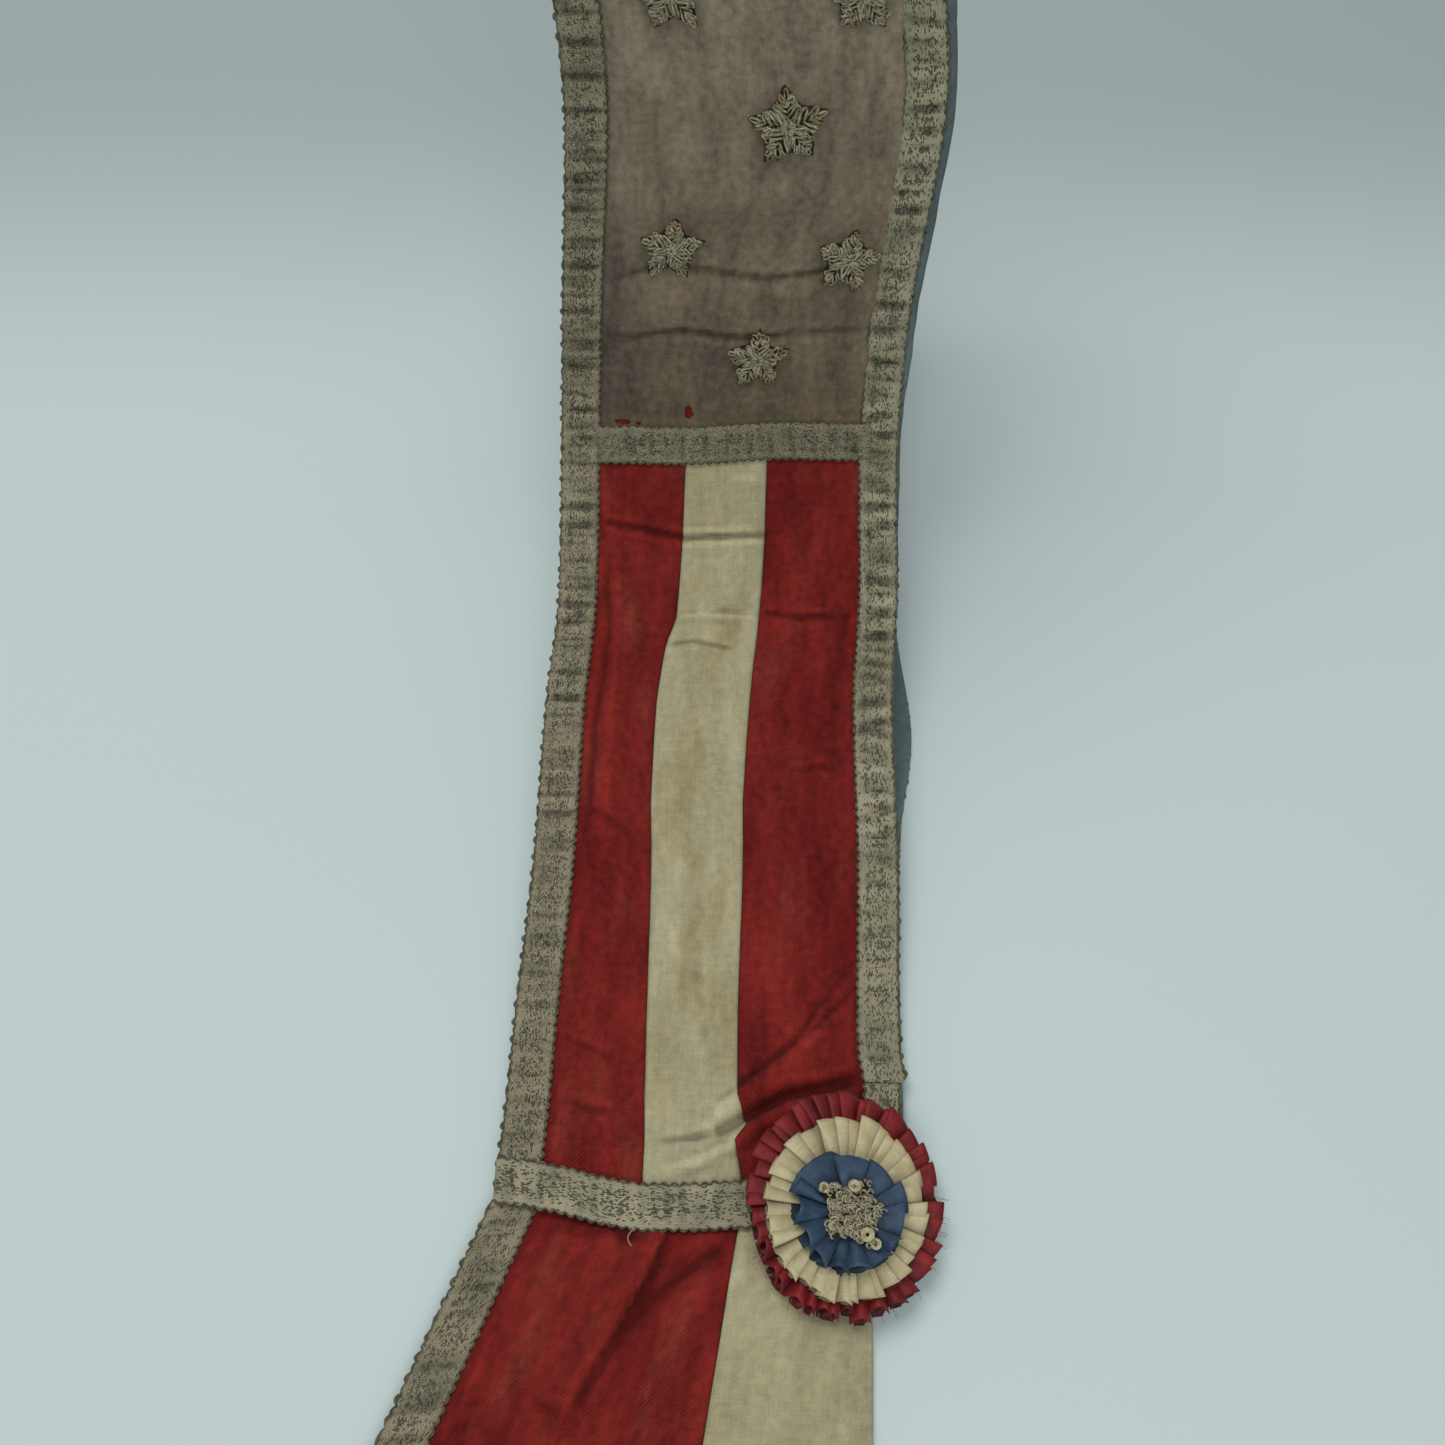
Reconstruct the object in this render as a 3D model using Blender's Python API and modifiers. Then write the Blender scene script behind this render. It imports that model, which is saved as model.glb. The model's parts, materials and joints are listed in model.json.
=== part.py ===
"""A patriotic award sash, worn over one shoulder, modelled as it is draped for display.

The sash is one loop of cloth. A front half and a back half meet at a seam behind the shoulder and at
the hip. Each half has a star field above three stripes, metal lace runs along both edges, and a band
of lace crosses at each change of cloth. Below the hip hangs a flared tail, folded in two along its
length, and a rosette of pleated ribbon sits on the hip seam. The back half lies face down on the
table, under the front half, then turns up behind it and over the shoulder.

Metres, +Z up. -Y points toward the tail, +X to the right of someone who faces the sash. The cloth is
laid out from the middle of the hip seam, and HIP_SEAM puts the origin under the middle of the whole.
"""

import math

import bmesh
import bpy
import numpy as np
from mathutils import Vector

# The middle of the hip seam, seen from the origin under the middle of the whole sash.
HIP_SEAM = Vector((0.0156, -0.12677, 0.0))

# The inside of the loop, from the hip up the front, over the shoulder and down the back to the hip:
# the middle of the strap (x, y, z), then its width.
ROUTE = [
    (0.0000, 0.0000, 0.0036, 0.117),
    (0.0013, 0.0280, 0.0036, 0.117),
    (0.0021, 0.0570, 0.0047, 0.117),
    (0.0045, 0.1020, 0.0126, 0.116),
    (0.0055, 0.1540, 0.0225, 0.115),
    (0.0084, 0.1910, 0.0330, 0.115),
    (0.0095, 0.2355, 0.0620, 0.115),
    (0.0125, 0.2570, 0.1070, 0.115),
    (0.0175, 0.2730, 0.1670, 0.115),
    (0.0130, 0.2800, 0.2150, 0.110),
    (0.0090, 0.2860, 0.2620, 0.108),
    (0.0050, 0.2930, 0.3100, 0.108),
    (0.0030, 0.3050, 0.3400, 0.108),
    (0.0020, 0.3290, 0.3540, 0.108),
    (0.0010, 0.3530, 0.3400, 0.108),
    (0.0000, 0.3640, 0.3080, 0.108),
    (0.0020, 0.3680, 0.2400, 0.110),
    (0.0060, 0.3690, 0.1600, 0.113),
    (0.0100, 0.3640, 0.0900, 0.115),
    (0.0130, 0.3500, 0.0420, 0.115),
    (0.0140, 0.3180, 0.0140, 0.115),
    (0.0140, 0.2780, 0.0061, 0.115),
    (0.0130, 0.2450, 0.0040, 0.115),
    (0.0120, 0.2000, 0.0031, 0.115),
    (0.0142, 0.1560, 0.0031, 0.115),
    (0.0080, 0.1180, 0.0031, 0.115),
    (0.0030, 0.0700, 0.0031, 0.116),
    (0.0000, 0.0000, 0.0031, 0.117),
]
CURVE_STEPS = 24
STATION_GAP = 0.012

# Layers of the strap, each (bottom, thickness) outward from the inside of the loop.
LINING = (0.0000, 0.0004)
INTERLINING = (0.0007, 0.0008)
FACE = (0.0018, 0.0004)
LACE = (0.0025, 0.0006)
STAR = (0.0031, 0.0012)
STRAP_THICKNESS = LACE[0] + LACE[1]
GAP = 0.0003

LACE_WIDTH = 0.0127
CREAM_MIDDLE = -0.0035
STRIPE_WIDTH = 0.028
STRIPE_LENGTH = 0.2482
INTERLINING_INSET = 0.002

# The right lace is cut and folded back before the hip, and a narrower piece carries on below it.
RIGHT_LACE_START = 0.032
LACE_END_PIECE_WIDTH = 0.010
LACE_END_PIECE_INSET = 0.0015

# Stars in rows of one and two, counted up from the stripes.
STAR_ROWS = 9
STAR_ROW_GAP = 0.0375
FIRST_STAR = 0.2778
STAR_RADIUS = 0.010
LARGE_STAR_RADIUS = 0.0118
LARGE_STAR_ROW = 2
STAR_INNER_RATIO = 0.48
STAR_SHIFT = 0.006
STAR_PAIR_HALF = 0.0272
STAR_POINTS = 5
FIRST_BENT_ROW = 7

# The band of lace over the hip seam, and how far it sags toward the tail.
HIP_BAND_HALF_LENGTH = 0.0583
HIP_BAND_BOTTOM = 0.0072
HIP_BAND_SAG = 0.007
HIP_BAND_SEGMENTS = 8

# The tail, seen from above: its two edges at the hip seam and how far each runs left per metre down.
TAIL_LENGTH = 0.120
TAIL_TOP = 0.0006
TAIL_LEFT = -0.0582
TAIL_LEFT_SLOPE = 0.40
TAIL_FOLD = 0.0496
TAIL_FOLD_SLOPE = 0.057
TAIL_RED_SHARE = 0.658
TAIL_LACE_WIDTH = LACE_WIDTH * math.hypot(1.0, TAIL_LEFT_SLOPE)
TAIL_HINGE = 0.042
TAIL_CUT = 0.0002

# Heights of the folded tail's outer surfaces, and the thickness of its cloth.
TAIL_CLOTH = 0.0005
TAIL_LINING = 0.0004
UNDER_LACE_Z = 0.0000
UNDER_FACE_Z = 0.0009
UPPER_LINING_Z = 0.0030
UPPER_FACE_Z = 0.0038
UPPER_LACE_Z = 0.0047
FOLD_Z = (UNDER_FACE_Z + UPPER_FACE_Z) / 2
FOLD_RADIUS = UPPER_FACE_Z - FOLD_Z
LINING_FOLD_RADIUS = UPPER_LINING_Z - FOLD_Z
FOLD_STEPS = 4

# The rosette: its seat on the hip seam, its tilt, and each ring as (radius, height) down the outside
# and back up the inside, with its width as a share of its height.
ROSETTE_SEAT = Vector((0.0403, -0.0050, 0.0098))
ROSETTE_TILT = (math.radians(4.0), math.radians(6.0), 0.0)
BACKING_RADIUS = 0.024
BACKING_THICKNESS = 0.0012
RED_RING = [
    (0.0290, 0.0052),
    (0.0318, 0.0035),
    (0.0315, 0.0008),
    (0.0250, 0.0015),
    (0.0180, 0.0015),
    (0.0180, 0.0056),
]
CREAM_RING = [(0.0245, 0.0078), (0.0258, 0.0064), (0.0240, 0.0059), (0.0120, 0.0059), (0.0120, 0.0083)]
BLUE_RING = [(0.0160, 0.0112), (0.0174, 0.0098), (0.0165, 0.0086), (0.0050, 0.0086), (0.0050, 0.0112)]
RED_RING_SHARE = 0.875
CREAM_RING_SHARE = 0.92
BLUE_RING_SHARE = 1.0
CREAM_RING_CENTRE = (-0.0006, -0.0016, 0.0)
BLUE_RING_CENTRE = (0.0, -0.0038, 0.0)
RING_STEPS = 36
ROSETTE_STAR_BOTTOM = 0.0115
ROSETTE_STAR_RADIUS = 0.0105
ROSETTE_STAR_THICKNESS = 0.0018

MATERIALS = {
    "silver_lace": ((0.30, 0.28, 0.20), 0.55, 0.35),
    "red_twill": ((0.27, 0.035, 0.03), 0.85, 0.0),
    "cream_cloth": ((0.52, 0.47, 0.30), 0.9, 0.0),
    "star_cloth": ((0.19, 0.155, 0.11), 0.9, 0.0),
    "lining_cotton": ((0.11, 0.145, 0.14), 0.6, 0.0),
    "canvas": ((0.45, 0.42, 0.35), 0.95, 0.0),
    "bullion": ((0.32, 0.30, 0.20), 0.45, 0.6),
    "red_ribbon": ((0.22, 0.02, 0.025), 0.5, 0.0),
    "cream_ribbon": ((0.52, 0.47, 0.30), 0.5, 0.0),
    "blue_ribbon": ((0.07, 0.12, 0.20), 0.5, 0.0),
}


def clear_scene():
    for obj in list(bpy.data.objects):
        bpy.data.objects.remove(obj, do_unlink=True)


def make_material(name):
    colour, roughness, metallic = MATERIALS[name]
    material = bpy.data.materials.new(name)
    material.use_nodes = True
    shader = material.node_tree.nodes["Principled BSDF"]
    shader.inputs["Base Color"].default_value = (*colour, 1.0)
    shader.inputs["Roughness"].default_value = roughness
    shader.inputs["Metallic"].default_value = metallic
    material.diffuse_color = (*colour, 1.0)
    return material


def add_empty(name, location, parent=None):
    empty = bpy.data.objects.new(name, None)
    empty.location = location
    empty.parent = parent
    COLLECTION.objects.link(empty)
    return empty


def add_object(name, mesh_data, material, parent):
    """An object of this mesh, whose points are already in the sash's own coordinates."""
    mesh = bpy.data.meshes.new(name)
    mesh_data.to_mesh(mesh)
    mesh_data.free()
    mesh.materials.append(PALETTE[material])
    obj = bpy.data.objects.new(name, mesh)
    obj.parent = parent
    COLLECTION.objects.link(obj)
    return obj


def add_thickness(obj, thickness, outward):
    solidify = obj.modifiers.new("Cloth thickness", "SOLIDIFY")
    solidify.thickness = thickness
    solidify.offset = 1.0 if outward else -1.0
    solidify.use_even_offset = True


def make_grid(columns, rows, place):
    """A grid primitive whose point in this column and row is moved to place(column, row)."""
    grid = bmesh.new()
    bmesh.ops.create_grid(grid, x_segments=columns, y_segments=rows, size=0.5)
    for vertex in grid.verts:
        column = round((vertex.co.x + 0.5) * columns)
        row = round((vertex.co.y + 0.5) * rows)
        vertex.co = place(column, row)
    return grid


def smooth_route():
    """Points close together on a Catmull-Rom curve through ROUTE, none of them too low for the cloth."""
    knots = np.array(ROUTE)
    knots = np.vstack([2 * knots[0] - knots[1], knots, 2 * knots[-1] - knots[-2]])
    points = []
    for before, start, end, after in zip(knots, knots[1:], knots[2:], knots[3:]):
        for t in np.arange(CURVE_STEPS) / CURVE_STEPS:
            linear = (end - before) * t
            square = (2 * before - 5 * start + 4 * end - after) * t**2
            cube = (3 * start - 3 * end + after - before) * t**3
            points.append(start + (linear + square + cube) / 2)
    points.append(knots[-2])
    points = np.array(points)
    points[:, 2] = np.maximum(points[:, 2], STRAP_THICKNESS)
    return points


def even_stations():
    """Stations STATION_GAP apart, seen from the side, and each one's outward mitre in Y and Z."""
    points = smooth_route()
    steps = np.hypot(np.diff(points[:, 1]), np.diff(points[:, 2]))
    travelled = np.concatenate([[0.0], np.cumsum(steps)])
    count = round(travelled[-1] / STATION_GAP)
    at = np.linspace(0.0, travelled[-1], count + 1)
    stations = np.column_stack([np.interp(at, travelled, column) for column in points.T])
    along = np.diff(stations[:, 1:3], axis=0)
    along /= np.linalg.norm(along, axis=1)[:, None]
    normals = np.column_stack([-along[:, 1], along[:, 0]])
    before = np.vstack([normals[:1], normals])
    after = np.vstack([normals, normals[-1:]])
    middle = before + after
    middle /= np.linalg.norm(middle, axis=1)[:, None]
    mitres = middle / (middle * before).sum(axis=1)[:, None]
    return at, stations, mitres


def on_loop(distance, edge, lift):
    """The point this far round the loop and this far outward of its inside.

    edge is (side, offset): side -1, 0 or 1 for the left edge, the middle or the right edge of the
    strap, and offset is metres to the right of that.
    """
    fraction = distance / STATION_DISTANCES[1]
    index = min(max(int(fraction), 0), len(STATIONS) - 2)
    share = fraction - index
    side, offset = edge
    ends = []
    for station, mitre in zip(STATIONS[index : index + 2], MITRES[index : index + 2]):
        middle, y, z, width = station
        across = middle + side * width / 2 + offset
        ends.append(Vector((across, y + mitre[0] * lift, z + mitre[1] * lift)))
    return ends[0].lerp(ends[1], share)


def distances_between(start, end):
    """Both ends and every station strictly between them."""
    inner = [at for at in STATION_DISTANCES if start + 0.001 < at < end - 0.001]
    return [start, *inner, end]


def add_strip(name, start, end, left, right, layer, material):
    """A strip of one layer, from start to end round the loop, between two edges."""
    distances = distances_between(start, end)
    lift, thickness = layer

    def place(column, row):
        return on_loop(distances[row], (left, right)[column], lift)

    strip = add_object(name, make_grid(1, len(distances) - 1, place), material, SASH)
    add_thickness(strip, thickness, outward=True)


def add_star(name, distance, offset, radius, facing, bent):
    """A five-pointed star that follows the cloth. facing is 1 where the loop runs up, -1 where down.

    A bent star lies over the shoulder, and has shorter edges so that it can follow the bend.
    """
    star = bmesh.new()
    bmesh.ops.create_circle(star, cap_ends=True, cap_tris=True, segments=2 * STAR_POINTS, radius=1.0)
    lift, thickness = STAR
    for vertex in star.verts:
        reach = vertex.co.length
        if reach > 0.5:
            turn = math.atan2(vertex.co.x, vertex.co.y)
            point = round(turn / math.pi * STAR_POINTS) % 2 == 0
            vertex.co *= radius * (1.0 if point else STAR_INNER_RATIO) / reach
    if bent:
        bmesh.ops.subdivide_edges(star, edges=star.edges, cuts=1, use_grid_fill=True)
    for vertex in star.verts:
        up, across = vertex.co.y * facing, vertex.co.x * facing
        vertex.co = on_loop(distance + up, (0, offset + across), lift)
    bmesh.ops.recalc_face_normals(star, faces=star.faces)
    middle_normal = sum((face.normal for face in star.faces), Vector())
    ahead = on_loop(distance, (0, 0.0), lift + 0.01) - on_loop(distance, (0, 0.0), lift)
    if middle_normal.dot(ahead) < 0:
        bmesh.ops.reverse_faces(star, faces=star.faces)
    obj = add_object(name, star, "bullion", SASH)
    add_thickness(obj, thickness, outward=True)


def add_half(half, hip, shoulder):
    """The cloth and stars of the front or back half, between these distances round the loop."""
    upward = 1 if shoulder > hip else -1
    stripe_top = hip + upward * STRIPE_LENGTH
    band_top = stripe_top + upward * LACE_WIDTH / 2
    band_bottom = stripe_top - upward * LACE_WIDTH / 2
    cut = GAP / 2
    left_edge, right_edge = (-1, cut), (1, -cut)
    cream_left = CREAM_MIDDLE - STRIPE_WIDTH / 2
    cream_right = CREAM_MIDDLE + STRIPE_WIDTH / 2
    stripes = [
        ("left_red_stripe", left_edge, (0, cream_left - cut), "red_twill"),
        ("cream_stripe", (0, cream_left + cut), (0, cream_right - cut), "cream_cloth"),
        ("right_red_stripe", (0, cream_right + cut), right_edge, "red_twill"),
    ]
    hem = hip + upward * GAP
    start, end = sorted((hem, stripe_top - upward * cut))
    for name, left, right, material in stripes:
        add_strip(f"{half}_{name}", start, end, left, right, FACE, material)
    start, end = sorted((stripe_top + upward * cut, shoulder - upward * cut))
    add_strip(f"{half}_star_field", start, end, left_edge, right_edge, FACE, "star_cloth")
    start, end = sorted((band_bottom, band_top))
    inside = LACE_WIDTH + GAP
    band = (-1, inside), (1, -inside)
    add_strip(f"{half}_cross_band", start, end, *band, LACE, "silver_lace")
    number = 1
    for row in range(STAR_ROWS):
        distance = hip + upward * (FIRST_STAR + row * STAR_ROW_GAP)
        single = row % 2 == 0
        offsets = [0.0] if single else [-STAR_PAIR_HALF, STAR_PAIR_HALF]
        radius = LARGE_STAR_RADIUS if row == LARGE_STAR_ROW else STAR_RADIUS
        for offset in offsets:
            name = f"{half}_star_{number:02d}"
            bent = row >= FIRST_BENT_ROW
            add_star(name, distance, offset + STAR_SHIFT, radius, upward, bent)
            number += 1


def add_loop_layers():
    """The layers that run the whole way round: lining, interlining and the two lace edgings."""
    end = STATION_DISTANCES[-1]
    cut = GAP / 2
    inset = INTERLINING_INSET
    add_strip("sash_lining", GAP, end - GAP, (-1, cut), (1, -cut), LINING, "lining_cotton")
    add_strip("sash_interlining", GAP, end - GAP, (-1, inset), (1, -inset), INTERLINING, "canvas")
    left_lace = (-1, 0.0), (-1, LACE_WIDTH)
    right_lace = (1, -LACE_WIDTH), (1, 0.0)
    add_strip("left_edge_lace", GAP, end - GAP, *left_lace, LACE, "silver_lace")
    add_strip("right_edge_lace", RIGHT_LACE_START, end - GAP, *right_lace, LACE, "silver_lace")
    outer = (1, -LACE_END_PIECE_INSET)
    inner = (1, -LACE_END_PIECE_INSET - LACE_END_PIECE_WIDTH)
    piece_end = RIGHT_LACE_START - GAP
    add_strip("right_lace_end_piece", GAP, piece_end, inner, outer, LACE, "silver_lace")


def add_hip_band():
    """The band of lace over the hip seam, bowed toward the tail."""

    def place(column, row):
        across = 2 * column / HIP_BAND_SEGMENTS - 1
        y = (row - 0.5) * LACE_WIDTH - HIP_BAND_SAG * (1 - across**2)
        return Vector((across * HIP_BAND_HALF_LENGTH, y, HIP_BAND_BOTTOM))

    band = add_object("hip_band", make_grid(HIP_BAND_SEGMENTS, 1, place), "silver_lace", SASH)
    add_thickness(band, LACE[1], outward=True)


def tail_edges(down):
    """(left, fold, red end, stripe width) of the tail at this distance below the hip seam."""
    left = TAIL_LEFT - TAIL_LEFT_SLOPE * down
    fold = TAIL_FOLD - TAIL_FOLD_SLOPE * down
    red_end = left + TAIL_RED_SHARE * (fold - left)
    stripe = red_end - left - TAIL_LACE_WIDTH
    return left, fold, red_end, stripe


def fold_path(start, fold, end, top, radius):
    """(x, z) rightward along the top, round the fold and leftward underneath."""
    path = [(start, top)]
    for step in range(FOLD_STEPS + 1):
        turn = math.pi * step / FOLD_STEPS
        path.append((fold - FOLD_RADIUS + radius * math.sin(turn), FOLD_Z + radius * math.cos(turn)))
    path.append((end, FOLD_Z - radius))
    return path


def tail_paths(down):
    """Each tail piece's outer surface across the tail at this distance below the hip seam."""
    left, fold, red_end, stripe = tail_edges(down)
    cut = GAP / 2
    cream_end = fold - (stripe - (fold - red_end))
    red_under_end = cream_end - stripe
    under_end = red_under_end - TAIL_LACE_WIDTH
    lining = fold_path(left + cut, fold, under_end + cut, UPPER_LINING_Z, LINING_FOLD_RADIUS)
    cream = fold_path(red_end + cut, fold, cream_end + cut, UPPER_FACE_Z, FOLD_RADIUS)
    return {
        "lining": lining,
        "left_lace": [(left, UPPER_LACE_Z), (left + TAIL_LACE_WIDTH, UPPER_LACE_Z)],
        "left_red": [(left + cut, UPPER_FACE_Z), (red_end - cut, UPPER_FACE_Z)],
        "cream": cream,
        "right_red": [(cream_end - cut, UNDER_FACE_Z), (under_end + cut, UNDER_FACE_Z)],
        "right_lace": [(red_under_end, UNDER_LACE_Z), (under_end, UNDER_LACE_Z)],
    }


TAIL_PIECES = {
    "lining": ("lining_cotton", TAIL_LINING),
    "left_lace": ("silver_lace", LACE[1]),
    "left_red": ("red_twill", TAIL_CLOTH),
    "cream": ("cream_cloth", TAIL_CLOTH),
    "right_red": ("red_twill", TAIL_CLOTH),
    "right_lace": ("silver_lace", LACE[1]),
}


def add_tail_part(prefix, top, bottom, parent):
    """Every layer of the tail between these distances below the hip seam."""
    paths = [tail_paths(bottom), tail_paths(top)]
    for piece, (material, thickness) in TAIL_PIECES.items():

        def place(column, row):
            x, z = paths[row][piece][column]
            y = -(bottom, top)[row]
            return Vector((x, y, z)) - parent_offset(parent)

        columns = len(paths[0][piece]) - 1
        obj = add_object(f"{prefix}_{piece}", make_grid(columns, 1, place), material, parent)
        add_thickness(obj, thickness, outward=False)


def parent_offset(parent):
    """Where this empty is in the sash's own coordinates."""
    return Vector() if parent == SASH else parent.location


def add_tail_end_lace(parent):
    """The lace across the tail's end, between the left lace and the fold."""
    top = TAIL_LENGTH - LACE_WIDTH

    def place(column, row):
        down = (TAIL_LENGTH, top)[row]
        left, fold, _, _ = tail_edges(down)
        x = (left + TAIL_LACE_WIDTH + GAP, fold - FOLD_RADIUS)[column]
        return Vector((x, -down, UPPER_LACE_Z)) - parent_offset(parent)

    lace = add_object("tail_end_lace", make_grid(1, 1, place), "silver_lace", parent)
    add_thickness(lace, LACE[1], outward=False)


def add_ring(name, profile, share, material, centre=(0.0, 0.0, 0.0)):
    """A ring of pleated ribbon: its section turned about the rosette's axis, then made oval."""
    section = bmesh.new()
    points = [section.verts.new((radius, 0.0, height)) for radius, height in profile]
    for start, end in zip(points, points[1:] + points[:1]):
        section.edges.new((start, end))
    ring = add_object(name, section, material, ROSETTE)
    ring.scale.x = share
    ring.location = centre
    screw = ring.modifiers.new("Turn", "SCREW")
    screw.steps = RING_STEPS
    screw.render_steps = RING_STEPS
    ring.data.shade_smooth()


def add_rosette():
    """The backing disc, three rings of pleated ribbon and the bullion star."""
    disc = bmesh.new()
    bmesh.ops.create_cone(disc, cap_ends=True, segments=RING_STEPS, radius1=BACKING_RADIUS,
                          radius2=BACKING_RADIUS, depth=BACKING_THICKNESS)
    bmesh.ops.translate(disc, verts=disc.verts, vec=(0.0, 0.0, BACKING_THICKNESS / 2))
    backing = add_object("rosette_backing", disc, "canvas", ROSETTE)
    backing.scale.x = RED_RING_SHARE
    add_ring("rosette_red_ruffle", RED_RING, RED_RING_SHARE, "red_ribbon")
    add_ring("rosette_cream_ruffle", CREAM_RING, CREAM_RING_SHARE, "cream_ribbon", CREAM_RING_CENTRE)
    add_ring("rosette_blue_ruffle", BLUE_RING, BLUE_RING_SHARE, "blue_ribbon", BLUE_RING_CENTRE)
    star = bmesh.new()
    bmesh.ops.create_circle(star, cap_ends=True, segments=2 * STAR_POINTS, radius=ROSETTE_STAR_RADIUS)
    for vertex in star.verts:
        turn = math.atan2(vertex.co.x, vertex.co.y)
        if round(turn / math.pi * STAR_POINTS) % 2:
            vertex.co *= STAR_INNER_RATIO
        vertex.co.z = ROSETTE_STAR_BOTTOM
    bmesh.ops.recalc_face_normals(star, faces=star.faces)
    for face in star.faces:
        if face.normal.z < 0:
            face.normal_flip()
    obj = add_object("rosette_star", star, "bullion", ROSETTE)
    obj.location = BLUE_RING_CENTRE
    add_thickness(obj, ROSETTE_STAR_THICKNESS, outward=True)


clear_scene()
COLLECTION = bpy.data.collections.new("award_sash")
bpy.context.scene.collection.children.link(COLLECTION)
PALETTE = {name: make_material(name) for name in MATERIALS}
STATION_DISTANCES, STATIONS, MITRES = even_stations()
LOOP_LENGTH = STATION_DISTANCES[-1]

SASH = add_empty("award_sash_origin", HIP_SEAM)
TAIL = add_empty("tail_hinge_axis", Vector((0.0, -TAIL_HINGE, UPPER_LACE_Z)), SASH)
ROSETTE = add_empty("rosette_axis", ROSETTE_SEAT, SASH)
ROSETTE.rotation_euler = ROSETTE_TILT

add_loop_layers()
add_half("front", 0.0, LOOP_LENGTH / 2)
add_half("back", LOOP_LENGTH, LOOP_LENGTH / 2)
add_hip_band()
add_tail_part("tail_head", TAIL_TOP, TAIL_HINGE - TAIL_CUT, SASH)
add_tail_part("tail", TAIL_HINGE + TAIL_CUT, TAIL_LENGTH, TAIL)
add_tail_end_lace(TAIL)
add_rosette()
bpy.context.view_layer.update()
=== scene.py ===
"""The looks of the award sash: one loop of cloth edged with metal lace, its tail and its rosette.

Metres throughout. The sash's own coordinates start at the middle of its hip seam, with the tail
toward -Y, and cloth is laid out by its distance round the loop and its offset across the strap.
"""

import json
import math

import bpy
import numpy as np
from mathutils import Matrix, Vector


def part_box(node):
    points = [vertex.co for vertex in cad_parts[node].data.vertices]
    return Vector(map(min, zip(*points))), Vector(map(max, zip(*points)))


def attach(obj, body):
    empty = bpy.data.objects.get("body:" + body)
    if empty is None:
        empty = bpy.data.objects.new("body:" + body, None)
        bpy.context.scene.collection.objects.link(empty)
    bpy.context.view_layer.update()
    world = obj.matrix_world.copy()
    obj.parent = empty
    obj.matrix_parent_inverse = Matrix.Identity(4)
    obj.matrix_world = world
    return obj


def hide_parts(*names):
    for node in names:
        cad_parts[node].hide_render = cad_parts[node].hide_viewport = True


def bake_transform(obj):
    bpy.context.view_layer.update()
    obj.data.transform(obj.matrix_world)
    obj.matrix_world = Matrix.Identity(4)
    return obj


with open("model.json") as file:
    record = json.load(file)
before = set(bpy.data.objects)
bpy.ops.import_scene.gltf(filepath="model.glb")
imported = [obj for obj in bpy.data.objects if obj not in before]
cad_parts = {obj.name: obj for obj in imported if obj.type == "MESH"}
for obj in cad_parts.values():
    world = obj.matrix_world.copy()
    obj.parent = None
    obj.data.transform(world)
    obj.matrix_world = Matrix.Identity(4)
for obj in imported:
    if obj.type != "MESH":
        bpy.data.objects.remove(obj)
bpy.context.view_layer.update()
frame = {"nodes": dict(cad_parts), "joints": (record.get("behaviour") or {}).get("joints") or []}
MM = 0.001

# The loop as the frame holds it: middle of the strap on the lining's side (x, y, z), then its width.
ROUTE = [
    (0.0000, 0.0000, 0.0036, 0.117),
    (0.0013, 0.0280, 0.0036, 0.117),
    (0.0021, 0.0570, 0.0047, 0.117),
    (0.0045, 0.1020, 0.0126, 0.116),
    (0.0055, 0.1540, 0.0225, 0.115),
    (0.0084, 0.1910, 0.0330, 0.115),
    (0.0095, 0.2355, 0.0620, 0.115),
    (0.0125, 0.2570, 0.1070, 0.115),
    (0.0175, 0.2730, 0.1670, 0.115),
    (0.0130, 0.2800, 0.2150, 0.110),
    (0.0090, 0.2860, 0.2620, 0.108),
    (0.0050, 0.2930, 0.3100, 0.108),
    (0.0030, 0.3050, 0.3400, 0.108),
    (0.0020, 0.3290, 0.3540, 0.108),
    (0.0010, 0.3530, 0.3400, 0.108),
    (0.0000, 0.3640, 0.3080, 0.108),
    (0.0020, 0.3680, 0.2400, 0.110),
    (0.0060, 0.3690, 0.1600, 0.113),
    (0.0100, 0.3640, 0.0900, 0.115),
    (0.0130, 0.3500, 0.0420, 0.115),
    (0.0140, 0.3180, 0.0140, 0.115),
    (0.0140, 0.2780, 0.0061, 0.115),
    (0.0130, 0.2450, 0.0040, 0.115),
    (0.0120, 0.2000, 0.0031, 0.115),
    (0.0142, 0.1560, 0.0031, 0.115),
    (0.0080, 0.1180, 0.0031, 0.115),
    (0.0030, 0.0700, 0.0031, 0.116),
    (0.0000, 0.0000, 0.0031, 0.117),
]
CURVE_STEPS = 24
STRAP_THICKNESS = 3.1 * MM

# Heights above the loop's inner side.
INTERLINING_TOP = 1.2 * MM
TURNING_TOP = 1.6 * MM
FACE_TOP = 2.2 * MM
LACE_TOP = 3.05 * MM
CLOTH = 0.4 * MM
LACE_CLOTH = 0.5 * MM

LACE_WIDTH = 12.7 * MM
STRIPE_TOP = 248.2 * MM
GAP = 0.3 * MM
SCALLOP_PITCH = 2.9 * MM
SCALLOP_DEPTH = 0.6 * MM
BEAD_PITCH = 5.3 * MM

HIP_LOW, HIP_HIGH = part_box("hip_band")
HIP_SEAM = np.array(((HIP_LOW[0] + HIP_HIGH[0]) / 2, HIP_HIGH[1] - LACE_WIDTH / 2, 0.0))
JOINTS = {joint["name"]: joint for joint in frame["joints"]}


# ---- numbers ----


def joined(x, y, z):
    """Points, or places on the flat cloth, from their three parts."""
    return np.stack(np.broadcast_arrays(x, y, z), axis=-1)


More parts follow.
